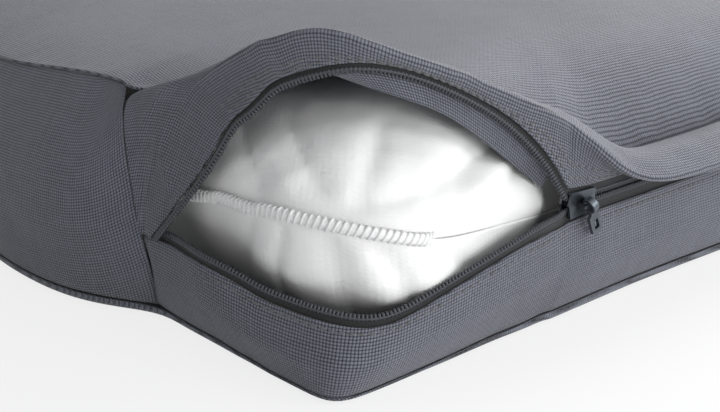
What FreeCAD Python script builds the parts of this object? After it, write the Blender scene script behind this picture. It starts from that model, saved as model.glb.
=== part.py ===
import FreeCAD, Part
import math
import os
import Sketcher
from FreeCAD import Vector

# Kneeling pad: a foam core in a white liner, inside a woven cover whose zip gusset
# wraps both front corners.  Millimetres, +X along the length, +Y to the back, +Z up.
# The origin is the middle of the underside.  The zip is open round the front left corner.

DOC_NAME = "kneeling_pad"

sizes = {
    # overall form
    "padLength": 400.0,          # front corner to front corner, on the bottom seam
    "padWidth": 330.0,
    "topSeamHeight": 78.0,
    "crownHeight": 87.0,
    "cornerRadius": 16.0,
    "stripBulge": 11.0,          # side strip, outside its seams at mid height
    "lowerBulge": 3.4,           # lower zip strip, likewise
    "sideBulge": 36.0,           # how far the short sides swell at the bottom seam
    "sideBulgeTop": 20.0,        # the same at the top seam
    "backBulge": 17.0,
    "backBulgeTop": 9.0,
    # cloth
    "patchLength": 36.0,         # the cloth's faces are divided along the seams about this often
    "coverCloth": 0.9,
    "linerCloth": 0.6,
    "seamGap": 0.3,              # between two cloths that are sewn together
    "layerGap": 0.3,             # between two layers that lie on each other
    "bottomSeamLift": 5.0,
    "foldGap": 2.6,              # between the two layers of the flap, at its fold
    "flapBulge": 6.5,
    "flapReach": 20.5,           # how far the flap's edge stands out over the closed zip
    "flapEdgeLift": 4.5,         # flap edge above the zip line
    "facingBehind": 2.2,         # seam facing behind the upper coil
    # zip
    "zipHeight": 44.0,
    "zipInset": 6.0,             # how far the closed zip stands out from the bottom corner line
    "zipReturn": 86.0,           # zip length on each short side
    "sliderFromCorner": 99.0,
    "coilWidth": 2.4,
    "coilDepth": 2.0,
    "coilGap": 0.3,
    "tapeThickness": 0.5,
    "tapeShown": 3.9,            # coil centre to the cloth edge where the zip is closed
    "tapeShownOpen": 2.6,        # and where it stands open
    "tapeHidden": 0.8,           # tape behind the cloth edge
    "tapeEase": 0.3,             # extra room between a tape and the cloth it is sewn to
    "stitchWidth": 0.7,
    "stitchHeight": 0.35,
    "stitchClearance": 0.3,
    # slider and pull
    "sliderLength": 12.0,
    "sliderMouthWidth": 9.2,
    "sliderTailWidth": 8.0,
    "sliderNose": 1.0,           # the mouth's middle stands this far ahead of its shoulders
    "sliderPlate": 0.9,
    "sliderFlange": 0.8,
    "coilClearance": 0.3,
    "tapeSlot": 1.2,
    "wedgeLength": 4.5,
    "wedgeWidth": 1.5,
    "bridgeLength": 7.0,
    "bridgeHeight": 3.6,
    "bridgeBar": 1.2,
    "pullLength": 12.0,
    "pullLean": 24.0,            # degrees the hanging pull leans along the zip
    "pullWidth": 5.0,
    "pullNeck": 2.4,
    "pullThickness": 1.3,
    "pullEye": 1.9,              # inside radius of the eye that turns on the bridge
    "pullEyeWall": 0.8,
    "pullSlotWidth": 2.2,
    "pullSlotLength": 3.6,
    # filling
    "fillLength": 322.0,
    "fillWidth": 246.0,
    "fillBack": 2.0,             # the filling lies this far behind the middle
    "fillCorner": 30.0,
    "fillFloor": 2.2,            # underside of the filling, just above the liner
    "waddingThickness": 11.0,
    "foamThickness": 44.0,
    "foamRound": 9.0,
    "overlockWidth": 4.6,
    "overlockHeight": 1.6,
}

doc = FreeCAD.newDocument(DOC_NAME)
sheet = doc.addObject("Spreadsheet::Sheet", "Sizes")
for row, (name, value) in enumerate(sizes.items(), start=1):
    sheet.set("A%d" % row, name)
    sheet.set("B%d" % row, str(value))
    sheet.setAlias("B%d" % row, name)
doc.recompute()


def size(name):
    return float(sheet.get(name))


UP = Vector(0, 0, 1)
length = size("padLength")
width = size("padWidth")
frontLeft = Vector(-length / 2, -width / 2, 0)
zipZ = size("zipHeight")
topZ = size("topSeamHeight")
seamZ = size("bottomSeamLift")
cloth = size("coverCloth")
gap = size("seamGap")
coilOffset = (size("coilWidth") + size("coilGap")) / 2


# ---- cloth solids -------------------------------------------------------------------

def mix(a, b, share):
    return a + (b - a) * share


def unit(v):
    return v * (1.0 / v.Length)


def gridNormals(rows):
    # unit normals of a grid of points, from its neighbours along both directions
    normals = []
    lastRow = len(rows) - 1
    lastCol = len(rows[0]) - 1
    for i in range(lastRow + 1):
        line = []
        for j in range(lastCol + 1):
            along = rows[min(i + 1, lastRow)][j] - rows[max(i - 1, 0)][j]
            across = rows[i][min(j + 1, lastCol)] - rows[i][max(j - 1, 0)]
            line.append(unit(along.cross(across)))
        normals.append(line)
    return normals


def spacing(lines):
    # how far along the cloth each line of poles lies
    places = [0.0]
    for a, b in zip(lines, lines[1:]):
        places.append(places[-1] + sum((q - p).Length for p, q in zip(a, b)) / len(a))
    return places


def clampedKnots(places):
    degree = 3
    inner = [sum(places[j:j + degree]) / degree for j in range(1, len(places) - degree)]
    return [degree + 1] + [1] * len(inner) + [degree + 1], [places[0]] + inner + [places[-1]]


def ringKnots(places):
    # the last place is the whole way round
    count = len(places) - 1
    whole = places[-1]
    middles = []
    for j in range(count):
        before = places[j - 1] if j else places[count - 1] - whole
        middles.append((before + places[j] + places[j + 1]) / 3)
    knots = middles[1:] + [middles[0] + whole, middles[1] + whole]
    return [1] * len(knots), knots


def poleSurface(rows, rowPlaces, colPlaces, closedRings=False):
    # smooth surface drawn by a net of poles; closed rings join end to end
    degree = 3
    rowMults, rowKnots = clampedKnots(rowPlaces)
    colMults, colKnots = ringKnots(colPlaces) if closedRings else clampedKnots(colPlaces)
    surface = Part.BSplineSurface()
    surface.buildFromPolesMultsKnots(rows, rowMults, colMults, rowKnots, colKnots, False, closedRings, degree, degree)
    return surface


def patchEnds(knots, shortest):
    # where a long surface is divided, always at a knot
    ends = [knots[0]]
    for knot in knots[1:-1]:
        if knot - ends[-1] >= shortest and knots[-1] - knot >= shortest:
            ends.append(knot)
    return ends + [knots[-1]]


def patches(surface, along):
    # the faces of a surface divided along its second direction, or its first if along is 0
    low, high = surface.bounds()[:2] if along else surface.bounds()[2:]
    ends = patchEnds(surface.getVKnots() if along else surface.getUKnots(), size("patchLength"))
    faces = []
    for start, end in zip(ends, ends[1:]):
        piece = surface.copy()
        if along:
            piece.segment(low, high, start, end)
        else:
            piece.segment(start, end, low, high)
        faces.append(piece.toShape())
    return faces


def rimSurface(firstPoles, secondPoles, places):
    # the straight edge of a cloth, between the matching rims of its two skins
    mults, knots = clampedKnots(places)
    surface = Part.BSplineSurface()
    surface.buildFromPolesMultsKnots([firstPoles, secondPoles], [2, 2], mults, [0, 1], knots, False, False, 1, 3)
    return surface


def gridSolid(rows, thickness, rowPlaces):
    # a sheet of cloth: the net is its middle surface
    normals = gridNormals(rows)
    colPlaces = spacing(list(zip(*rows)))
    skins = []
    for side in (0.5, -0.5):
        shifted = []
        for line, normalLine in zip(rows, normals):
            shifted.append([p + n * (side * thickness) for p, n in zip(line, normalLine)])
        skins.append(shifted)
    shown, inner = skins
    faces = []
    for skin in skins:
        faces += patches(poleSurface(skin, rowPlaces, colPlaces), 0)
    for end in (0, -1):
        faces.append(rimSurface(shown[end], inner[end], colPlaces).toShape())
        faces += patches(rimSurface([line[end] for line in shown], [line[end] for line in inner], rowPlaces), 1)
    return closedSolid(faces)


def closedSolid(faces):
    shell = Part.makeShell(faces)
    shell.sewShape()
    solid = Part.makeSolid(shell)
    if solid.Volume < 0:
        solid.reverse()
    return solid


def ribbon(firstEdge, secondEdge, thickness, rowPlaces, columns=4):
    rows = []
    for a, b in zip(firstEdge, secondEdge):
        rows.append([mix(a, b, j / (columns - 1)) for j in range(columns)])
    return gridSolid(rows, thickness, rowPlaces)


def dishSolid(outerRings, innerRings):
    # a panel of closed rings that ends in a flat middle
    faces = []
    inward = spacing(outerRings)
    for rings in (outerRings, innerRings):
        skin = patches(poleSurface(rings, inward, seamPlaces, True), 1)
        faces += skin
        rims = [face.Surface.uIso(face.Surface.bounds()[1]).toShape() for face in skin]
        faces.append(Part.Face(Part.Wire(rims)))
    mults, knots = ringKnots(seamPlaces)
    rim = Part.BSplineSurface()
    rim.buildFromPolesMultsKnots([outerRings[0], innerRings[0]], [2, 2], mults, [0, 1], knots, False, True, 1, 3)
    faces += patches(rim, 1)
    return closedSolid(faces)


def shiftedRings(rings, shifts, thickness):
    # the rings moved by a sideways and an upward share of the thickness each
    moved = []
    for ring, (sideways, upward) in zip(rings, shifts):
        moved.append([p + outlineNormal(p) * (sideways * thickness) + UP * (upward * thickness) for p in ring])
    return moved


def outlineNormal(p):
    return unit(Vector(p.x, p.y, 0))


# ---- outline of the pad -------------------------------------------------------------

def rounded(distance, corner, before, after):
    # place and outward direction at a distance along the outline from a rounded corner
    radius = size("cornerRadius")
    halfArc = radius * math.pi / 4
    inner = corner - before[1] * radius - after[1] * radius
    if distance <= -halfArc:
        place = inner + before[1] * radius + before[0] * (distance + halfArc)
        return place, before[1]
    if distance >= halfArc:
        place = inner + after[1] * radius + after[0] * (distance - halfArc)
        return place, after[1]
    turn = (distance / halfArc + 1) * math.pi / 4
    outward = before[1] * math.cos(turn) + after[1] * math.sin(turn)
    return inner + outward * radius, outward


frontRun = (Vector(1, 0, 0), Vector(0, -1, 0))      # direction along the side, outward direction
rightRun = (Vector(0, 1, 0), Vector(1, 0, 0))
backRun = (Vector(-1, 0, 0), Vector(0, 1, 0))
leftRun = (Vector(0, -1, 0), Vector(-1, 0, 0))
frontRight = Vector(length / 2, -width / 2, 0)
backRight = Vector(length / 2, width / 2, 0)
backLeft = Vector(-length / 2, width / 2, 0)

# The open corner, one row for each station from the left end of the zip to the slider.
# Each point is (x, y) from the front left corner and a height above the line in brackets:
# bottom seam (bottomSeamLift), lower coil, upper coil, flap fold (zipHeight),
# top seam (topSeamHeight), liner seam and liner shoulder (zipHeight).
openCorner = [
    ((-10, 86, 0), (-13.2, 84.3, -9.2), (-15, 76.3, -10.3), (-15.3, 82.9, -10.3), (-9.4, 100.5, 2.4), (-4, 88, 1), (4, 98, 24)),
    ((-9, 73, -1), (-11, 77, -8.6), (-12, 64, 4), (-13, 83, 4), (-9, 99, 2), (-3, 76, 4), (5, 92, 25)),
    ((-8, 62, -1), (-10.5, 67.5, -9), (-7, 55, 16), (-9, 80, 18), (-8.7, 98, 1.6), (-3, 64, 6), (6, 84, 27)),
    ((-7, 52, -1), (-11, 56.5, -9.5), (-2, 51, 27), (-5, 73, 33), (-8.3, 97, 1.3), (-2, 55, 8), (7, 76, 28)),
    ((-6, 44, -2), (-10, 46, -10), (0, 48, 33), (-3, 67, 41), (-8, 96, 1), (-2, 48, 9), (8, 66, 30)),
    ((-5, 36, -2), (-7, 39, -12), (2, 44, 36), (-1, 61, 46), (2, 85, 0), (-2, 41, 9), (9, 56, 32)),
    ((-4, 28, -3), (-4, 31, -15), (4, 40, 40), (1, 54, 51), (9, 74, 4), (-1, 34, 10), (11, 47, 33)),
    ((-3, 21, -3), (-1, 24, -16), (6, 36, 45), (3, 44, 57), (16, 60, 10), (0, 27, 11), (13, 38, 35)),
    ((-2, 12, -3), (2, 16, -17), (9, 31, 48), (6, 33, 62), (22, 46, 14), (2, 20, 11), (15, 31, 36)),
    ((0, 0, -3), (8, 3, -18), (13, 21, 52), (12, 20, 67), (29, 32, 16), (9, 7, 10), (21, 20, 36)),
    ((14, -1, -3), (18, -3, -19), (21, 13, 54), (20, 10, 63), (38, 23, 15), (20, -2, 7), (30, 14, 35)),
    ((30, -1, -3), (33, -6, -14), (34, 7, 51), (33, 5, 57), (50, 18, 11), (33, -5, 3), (42, 9, 32)),
    ((48, -2, -2), (49, -8, -9), (48, 3, 44), (48, 2, 51), (64, 14, 5), (49, -3, 0), (56, 7, 27)),
    ((66, -2, -1), (66, -9, -5), (64, 1, 35), (65, -1, 43), (78, 11, -2), (67, -1, -2), (72, 7, 20)),
    ((80, -3, -1), (79, -8, -3), (78, -2, 23), (80, -4, 36), (92, 10, -11), (82, 1, -4), (86, 8, 13)),
    ((88, -3, 0), (87, -7, -3), (87, -5, 11), (88, -6, 31), (102, 9, -17), (90, 2, -5), (94, 9, 9)),
]
cornerRow = 9            # the row that stands at the corner itself
# the left end seam climbs from the bottom seam to the top seam past the end of the zip
leftEndSeam = [(-10, 86, 5), (-14, 82, 20), (-16, 85, 33), (-15.5, 89, 46), (-14.5, 94, 60), (-12, 98, 73),
               (-10, 99.5, 78), (-9.4, 100, 80)]
zipEndRow = 2            # the seam's point where the zip ends
lowerEndBow = Vector(-2.6, -5.0, 0)     # the end of the lower strip bows with that seam


def cornerPoint(entry, lift):
    return frontLeft + Vector(entry[0], entry[1], lift + entry[2])


def stationRow(bottom, lower, upper, fold, top, linerSeam, linerShoulder, outward, closed, mouth):
    return {
        "bottom": bottom,
        "lower": lower,
        "upper": upper,
        "fold": fold,
        "top": top,
        "liner": linerSeam,
        "shoulder": linerShoulder,
        "outward": outward,
        "closed": closed,
        "mouth": mouth,
    }


mouthDown = Vector(-0.35, -0.3, -1)


def openStations():
    rows = []
    last = len(openCorner) - 1
    for index, entry in enumerate(openCorner):
        turned = min(max((index - cornerRow + 3) / 5.0, 0.0), 1.0)
        outward = unit(mix(leftRun[1], frontRun[1], turned))
        points = [cornerPoint(entry[0], seamZ)]
        points += [cornerPoint(entry[k], zipZ) for k in (1, 2, 3)]
        points.append(cornerPoint(entry[4], topZ))
        points += [cornerPoint(entry[k], zipZ) for k in (5, 6)]
        closed = min(1.0, max(0.0, (index - last + 2) / 2.0))
        # the flap's inner layer faces the mouth: forwards at the left end, down round the corner
        mouth = mix(Vector(0, -1, 0), mouthDown, min(1.0, max(0.0, (index - 3) / 5.0)))
        row = stationRow(*points, outward, closed, mouth)
        if index + zipEndRow < len(leftEndSeam) - 2:
            row["root"] = cornerPoint(leftEndSeam[index + zipEndRow], 0)
        rows.append(row)
    rows[0]["bow"] = lowerEndBow
    return rows


# Along the slider and the closed zip: distance of the station from the slider's middle,
# spread of the two coils, and the flap's fold above the zip line and out from the corner line.
sliderStations = [
    (-7.5, 2.7, 29.0, 6.0),
    (-6.2, 2.25, 28.0, 7.0),
    (-3.0, 2.0, 25.0, 9.0),
    (0.5, 1.65, 22.0, 11.0),
    (4.0, 1.35, 18.5, 13.0),
    (12.0, 1.35, 11.5, 16.0),
    (24.0, 1.35, 6.0, 19.0),
    (44.0, 1.35, 4.5, 20.5),
]
topSeamInset = 8.0           # the front top seam lies back from the corner line
topSeamDrop = 31.0           # and this far below topSeamHeight, where the zip sags most


def closedStation(place, outward, spread, foldLift, foldReach, topDrop, topInset, bottomOut):
    zipLine = place + outward * size("zipInset") + UP * zipZ
    return stationRow(
        place + outward * bottomOut + UP * seamZ,
        zipLine - UP * spread,
        zipLine + UP * spread,
        place + outward * foldReach + UP * (zipZ + foldLift),
        place - outward * topInset + UP * (topZ - topDrop),
        place - outward * 4 + UP * (zipZ - 6),
        place - outward * 11 + UP * (topZ - topDrop - 1),
        outward,
        1.0,
        mouthDown,
    )


def frontStations():
    rows = openStations()
    middle = frontLeft.x + size("sliderFromCorner")
    for offset, spread, lift, reach in sliderStations:
        place = Vector(middle + offset, frontLeft.y, 0)
        settled = min(1.0, max(0.0, (offset + 7.5) / 36.0))
        drop = 19 + (topSeamDrop - 19) * settled
        # the top seam runs ahead of the flap where the flap is still turned back
        lead = Vector(15 * (1 - settled), 0, 0)
        row = closedStation(place, frontRun[1], spread, lift, reach, drop, topSeamInset, 4)
        row["top"] = row["top"] + lead
        row["shoulder"] = row["shoulder"] + lead * 0.5
        rows.append(row)
    # straight run to the right corner, where the top seam climbs back
    start = middle + sliderStations[-1][0]
    end = frontRight.x - 2 * size("cornerRadius")
    runs = 4
    for step in range(1, runs + 1):
        share = step / float(runs)
        place = Vector(start + (end - start) * share, frontLeft.y, 0)
        drop = topSeamDrop - 14 * share ** 2
        row = closedStation(place, frontRun[1], coilOffset, size("flapEdgeLift"), size("flapReach"),
                            drop, topSeamInset, 4 + 6 * math.sin(math.pi * share) ** 2)
        rows.append(row)
    # round the right corner to the right end of the zip
    radius = size("cornerRadius")
    around = [-radius, -0.5 * radius, 0, 0.5 * radius, radius, 2.2 * radius, 3.7 * radius, size("zipReturn")]
    for count, distance in enumerate(around):
        place, outward = rounded(distance, frontRight, frontRun, rightRun)
        share = (count + 1.0) / len(around)
        returned = max(0.0, (distance - radius) / (size("zipReturn") - radius))
        row = closedStation(place, outward, coilOffset, size("flapEdgeLift"), size("flapReach"),
                            17 - 12 * share, topSeamInset - 14 * returned, 4 + 8 * share ** 2)
        rows.append(row)
    return rows


front = frontStations()


def sideStations():
    # the plain side strip, from the right end of the zip round the back to the left end
    rows = []
    sideEnd = width - 1.2 * size("cornerRadius")

    def bulgeRow(place, outward, low, high, top):
        rows.append({
            "bottom": place + outward * low + UP * seamZ,
            "top": place + outward * high + UP * top,
            "liner": place + outward * ((low + high) / 2 - 7) + UP * zipZ,
            "shoulder": place + outward * (high - 9) + UP * (top - 14),
            "outward": outward,
        })

    first = size("zipReturn")
    for step in range(1, 6):
        share = step / 6.0
        y = first + (sideEnd - first) * share
        swell = math.sin(math.pi * y / width) ** 0.8
        place = Vector(frontRight.x, frontRight.y + y, 0)
        bulgeRow(place, rightRun[1], size("sideBulge") * 0.7 * swell, size("sideBulgeTop") * 0.7 * swell, topZ - 3)
    radius = size("cornerRadius")
    for distance in (-radius, -0.4 * radius, 0.4 * radius, radius):
        place, outward = rounded(distance, backRight, rightRun, backRun)
        bulgeRow(place, outward, 3, 1, topZ - 4)
    for step in range(1, 8):
        share = step / 8.0
        swell = math.sin(math.pi * share) ** 0.7
        place = Vector(backRight.x - radius * 1.2 - (length - 2.4 * radius) * share, backRight.y, 0)
        bulgeRow(place, backRun[1], 3 + size("backBulge") * swell, 1 + size("backBulgeTop") * swell, topZ - 4)
    for distance in (-radius, -0.4 * radius, 0.4 * radius, radius):
        place, outward = rounded(distance, backLeft, backRun, leftRun)
        bulgeRow(place, outward, 3, 1, topZ - 4)
    # the short side that shows: shares of the width from the back, swell, and top seam height
    leftSide = [(0.90, 0.28, 0.30, -4), (0.78, 0.64, 0.70, -4), (0.64, 0.92, 0.98, -3), (0.52, 1.0, 1.0, -2),
                (0.43, 0.95, 0.80, 1), (0.36, 0.82, 0.62, 3), (0.31, 0.60, 0.48, 3)]
    for share, low, high, lift in leftSide:
        place = Vector(frontLeft.x, frontLeft.y + width * share, 0)
        bulgeRow(place, leftRun[1], size("sideBulge") * low, size("sideBulgeTop") * high, topZ + lift)
    return rows


side = sideStations()
seamRows = front + side
# how far round the pad each station stands; the last number is the whole way round
seamPlaces = spacing([(row["bottom"], row["top"]) for row in seamRows + seamRows[:1]])
frontPlaces = seamPlaces[:len(front)]
centre = Vector(0, 0, 0)


def ringFrom(points, inset, rise, level):
    ring = []
    for p in points:
        flat = mix(Vector(p.x, p.y, 0), centre, inset)
        ring.append(Vector(flat.x, flat.y, p.z + (level - p.z) * rise))
    return ring


# ---- cover --------------------------------------------------------------------------

panelRings = [(0.0, 0.0), (0.06, 0.42), (0.14, 0.74), (0.27, 0.94), (0.42, 1.0), (0.50, 1.0)]


def topPanelRings(drop):
    points = [row["top"] + UP * (gap / 2 + cloth) for row in seamRows]
    level = size("crownHeight")
    return [[p - UP * drop for p in ringFrom(points, inset, rise, level)] for inset, rise in panelRings]


def coverTopPanel():
    return dishSolid(topPanelRings(0), topPanelRings(cloth))


def coverBottomPanel():
    # the panel rolls down from its seam before it lies flat
    points = [row["bottom"] - UP * (gap / 2 + cloth) for row in seamRows]
    rings = [ringFrom(points, inset, rise, 0.0) for inset, rise in
             ((0.0, 0.0), (0.0, 0.55), (0.012, 0.93), (0.045, 1.0), (0.12, 1.0))]
    shifts = [(-1, 0.3), (-0.9, 0.5), (-0.4, 0.9), (0, 1), (0, 1)]
    return dishSolid(rings, shiftedRings(rings, shifts, cloth))


def sideSection(row, columns=8):
    line = []
    low = row["bottom"] + UP * (gap / 2) - row["outward"] * (cloth / 2)
    high = row["top"] - UP * (gap / 2) - row["outward"] * (cloth / 2)
    for j in range(columns):
        share = j / (columns - 1.0)
        line.append(mix(low, high, share) + row["outward"] * (size("stripBulge") * math.sin(math.pi * share)))
    return line


def endSection(points, shift):
    return [frontLeft + Vector(x, y, z) + shift for x, y, z in points]


def coverSideStrip():
    # its ends stand a seam's width off the zip gusset
    rightEnd = sideSection(front[-1])
    rows = [[p + Vector(0, gap, 0) for p in rightEnd]]
    rows += [sideSection(row) for row in side]
    rows.append(endSection(leftEndSeam, Vector(cloth / 2, gap, 0)))
    return gridSolid(rows, cloth, seamPlaces[len(front) - 1:])


def toward(a, b):
    return unit(b - a)


def tapeShown(row):
    return size("tapeShownOpen") + (size("tapeShown") - size("tapeShownOpen")) * row["closed"]


def lowerSection(row, columns=6):
    # bottom seam to the folded lip, in front of the lower tape
    low = row["bottom"] + UP * (gap / 2) - row["outward"] * (cloth / 2)
    down = toward(row["lower"], row["bottom"])
    clear = cloth / 2 + size("layerGap") + size("tapeThickness") / 2 + size("tapeEase")
    lip = row["lower"] + down * tapeShown(row) + row["outward"] * clear
    bow = row.get("bow", row["outward"] * size("lowerBulge"))
    line = []
    for j in range(columns):
        share = j / (columns - 1.0)
        line.append(mix(low, lip, share) + bow * (math.sin(math.pi * share) * (1 - 0.3 * share)))
    return line


def zipStripLower():
    return gridSolid([lowerSection(row) for row in front], cloth, frontPlaces)


def tapeEdge(row):
    # the cloth edge beside the upper coil: straight up where the zip is closed
    reach = (row["fold"] - row["upper"]).Length
    lead = unit(mix(toward(row["upper"], row["fold"]), UP, row["closed"]))
    return row["upper"] + lead * min(tapeShown(row), 0.48 * reach)


def flapFrame(row):
    # start of the outer layer, its direction at the fold, and the way across the fold
    if "root" in row:
        start = row["root"] + Vector(cloth / 2, -gap, 0)
    else:
        start = row["top"] + row["outward"] * (gap + cloth / 2) + UP * (gap / 2 + cloth / 2)
    down = toward(start, row["fold"])
    turned = min(1.0, max(0.0, (row["fold"].z - row["top"].z) / 12.0))
    hint = row["mouth"] if "root" in row else mix(UP * -1 - row["outward"], row["mouth"], turned)
    return start, down, unit(hint - down * hint.dot(down))


def flapSection(row):
    # top seam, outer layer, fold, and the inner layer back to the upper tape
    start, down, across = flapFrame(row)
    fold = row["fold"]
    edge = tapeEdge(row)
    reach = (fold - start).Length
    bulge = size("flapBulge") * min(1.0, reach / 26.0) * (0.35 + 0.65 * row["closed"])
    half = min(size("foldGap") / 2, 0.25 * reach, 0.25 * (edge - fold).Length)
    # the two layers lie apart only where the fold turns right back
    apart = size("foldGap") * max(0.0, -down.dot(toward(fold, edge)))
    inner = fold + across * apart
    back = toward(inner, edge)
    line = []
    for share in (0.0, 0.22, 0.45, 0.68, 0.88):
        line.append(mix(start, fold - down * half, share) - across * (bulge * math.sin(math.pi * share)))
    line.append(fold - down * half)
    line.append(fold - down * (0.3 * half) + across * (0.15 * apart))
    line.append(fold + across * (0.5 * apart))
    line.append(fold + back * (0.3 * half) + across * (0.85 * apart))
    line.append(inner + back * half)
    # where the zip is closed the inner layer ends square against the tape
    short = size("tapeThickness") / 2 + size("layerGap") + size("tapeEase")
    edge = edge + row["outward"] * (short * row["closed"])
    innerBulge = 0.42 * bulge * row["closed"]
    for share in (0.3, 0.6, 0.82, 1.0):
        line.append(mix(inner + back * half, edge, share) - across * (innerBulge * math.sin(math.pi * share)))
    return line


flapRows = [flapSection(row) for row in front]
flapInside = gridNormals(flapRows)       # these point from the shown face into the fold


def zipStripUpper():
    return gridSolid(flapRows, cloth, frontPlaces)


# The lower edge of the seam facing, from the front left corner, one point for each row of the
# open corner from cornerRow to the slider.
facingEdge = [(21, 20, 93.5), (27, 12, 90), (37, 8, 86.4), (50, 5.5, 79.5), (66, 4, 67.5), (78, 2, 57), (87.5, 1, 50)]


def seamFacing():
    # the strip that hangs into the mouth behind the upper coil
    span = slice(cornerRow, cornerRow + len(facingEdge))
    behind = unit(Vector(0.4, 0.85, 0.3)) * size("facingBehind")
    upper = [row["upper"] + behind for row in front[span]]
    lower = [frontLeft + Vector(x, y, z) for x, y, z in facingEdge]
    return ribbon(upper, lower, cloth, frontPlaces[span])


# ---- zip ----------------------------------------------------------------------------

def coilSolid(key, lead):
    half = size("coilWidth") / 2
    first = [row[key] + lead(row) * half for row in front]
    second = [row[key] - lead(row) * half for row in front]
    return ribbon(first, second, size("coilDepth"), frontPlaces)


def lowerLead(row):
    # toward the bottom seam, and straight down where the zip is closed
    return unit(mix(toward(row["lower"], row["bottom"] + row["outward"] * 2), UP * -1, row["closed"]))


def upperLead(row):
    return toward(row["upper"], tapeEdge(row))


def zipTapeLower():
    start = size("coilWidth") / 2 + size("coilGap") / 2
    first = [row["lower"] + lowerLead(row) * start for row in front]
    hidden = size("tapeHidden")
    second = [row["lower"] + lowerLead(row) * (tapeShown(row) + hidden) for row in front]
    return ribbon(first, second, size("tapeThickness"), frontPlaces)


def zipTapeUpper():
    # straight up from the coil, behind the edge of the flap's inner layer
    start = size("coilWidth") / 2 + size("coilGap") / 2
    cover = cloth / 2 + size("layerGap") + size("tapeThickness") / 2 + size("tapeEase")
    first = []
    second = []
    for row, inside in zip(front, flapInside):
        beside = row["upper"] + upperLead(row) * start
        first.append(beside)
        lead = unit(mix(toward(beside, tapeEdge(row) + inside[-1] * cover), UP, row["closed"]))
        second.append(beside + lead * (tapeShown(row) + size("tapeHidden") - start))
    return ribbon(first, second, size("tapeThickness"), frontPlaces)


def stitchRow(edgePoints, backs, outs, distance, span):
    lift = cloth / 2 + size("stitchHeight") / 2 + size("stitchClearance")
    middle = [p + b * distance + o * lift for p, b, o in zip(edgePoints, backs, outs)]
    first = [p + b * (size("stitchWidth") / 2) for p, b in zip(middle, backs)]
    second = [p - b * (size("stitchWidth") / 2) for p, b in zip(middle, backs)]
    return ribbon(first, second, size("stitchHeight"), frontPlaces[span])


def flapTopstitching():
    span = slice(2, -8)
    edges = [line[-1] for line in flapRows[span]]
    backs = [toward(line[-1], line[-2]) for line in flapRows[span]]
    outs = [inside[-1] * -1 for inside in flapInside[span]]
    return [stitchRow(edges, backs, outs, 1.8, span)]


def lipTopstitching():
    span = slice(3, -8)
    rows = front[span]
    sections = [lowerSection(row) for row in rows]
    edges = [line[-1] for line in sections]
    backs = [toward(line[-1], line[-2]) for line in sections]
    outs = []
    for row, back in zip(rows, backs):
        out = row["outward"]
        outs.append(unit(out - back * out.dot(back)))
    return [stitchRow(edges, backs, outs, 2.0, span)]


# ---- liner --------------------------------------------------------------------------

linerClearance = 4.5         # liner below the top panel


def linerTopRings():
    seam = [row["liner"] + UP * (gap / 2) for row in seamRows]
    shoulder = [row["shoulder"] for row in seamRows]
    rings = [seam, [mix(a, b, 0.5) + row["outward"] * 3 for a, b, row in zip(seam, shoulder, seamRows)], shoulder]
    panel = topPanelRings(linerClearance)
    return rings + panel[2:]


def linerTopPanel():
    rings = linerTopRings()
    shifts = [(-1, 0), (-1, -0.2), (-0.7, -0.8)] + [(0, -1)] * (len(rings) - 3)
    return dishSolid(rings, shiftedRings(rings, shifts, size("linerCloth")))


def linerBottomPanel():
    seam = [row["liner"] - UP * (gap / 2) for row in seamRows]
    floor = cloth + size("layerGap")
    rings = [ringFrom(seam, inset, rise, floor) for inset, rise in
             ((0.0, 0.0), (0.02, 0.35), (0.055, 0.72), (0.11, 0.95), (0.16, 1.0), (0.20, 1.0))]

    shifts = [(-1, 0), (-1, 0.5), (-0.6, 1)] + [(0, 1)] * (len(rings) - 3)
    return dishSolid(rings, shiftedRings(rings, shifts, size("linerCloth")))


def overlockSolid():
    # a flat cord of stitches that stands out along the liner's side seam
    thickness = size("overlockWidth") * 0.35
    lean = thickness / 2
    clear = 2 * size("layerGap") + thickness / 4
    inner = []
    outer = []
    for row in seamRows:
        inner.append(row["liner"] + row["outward"] * clear - UP * lean)
        outer.append(row["liner"] + row["outward"] * (clear + size("overlockHeight")))
    return ribbon(inner, outer, thickness, seamPlaces[:-1])


# ---- slider, pull and filling: sketched bodies ---------------------------------------

def newBody(name, x, y, z):
    body = doc.addObject("PartDesign::Body", name)
    body.Label = name
    body.setExpression("Placement.Base.x", x)
    body.setExpression("Placement.Base.y", y)
    body.setExpression("Placement.Base.z", z)
    return body


def originPlane(body, role):
    return [item for item in body.Origin.OriginFeatures if item.Role == role][0]


def newSketch(body, role, name):
    sketch = body.newObject("Sketcher::SketchObject", name)
    sketch.AttachmentSupport = [(originPlane(body, role), "")]
    sketch.MapMode = "FlatFace"
    return sketch


def polygon(sketch, corners):
    # a closed outline whose corners are bound to expressions of the sheet
    first = sketch.GeometryCount
    count = len(corners)
    rough = [Vector(10 * math.cos(2 * math.pi * k / count), 10 * math.sin(2 * math.pi * k / count), 0)
             for k in range(count)]
    for k in range(count):
        sketch.addGeometry(Part.LineSegment(rough[k], rough[(k + 1) % count]), False)
    for k in range(count):
        sketch.addConstraint(Sketcher.Constraint("Coincident", first + k, 2, first + (k + 1) % count, 1))
    for k, (across, up) in enumerate(corners):
        for kind, formula in (("DistanceX", across), ("DistanceY", up)):
            if formula == "0":
                axis = -2 if kind == "DistanceX" else -1
                sketch.addConstraint(Sketcher.Constraint("PointOnObject", first + k, 1, axis))
            else:
                place = sketch.addConstraint(Sketcher.Constraint(kind, -1, 1, first + k, 1, 1.0))
                sketch.setExpression("Constraints[%d]" % place, formula)


def circle(sketch, radius):
    index = sketch.addGeometry(Part.Circle(Vector(0, 0, 0), Vector(0, 0, 1), 1.0), False)
    sketch.addConstraint(Sketcher.Constraint("Coincident", index, 3, -1, 1))
    place = sketch.addConstraint(Sketcher.Constraint("Radius", index, 1.0))
    sketch.setExpression("Constraints[%d]" % place, radius)


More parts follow.
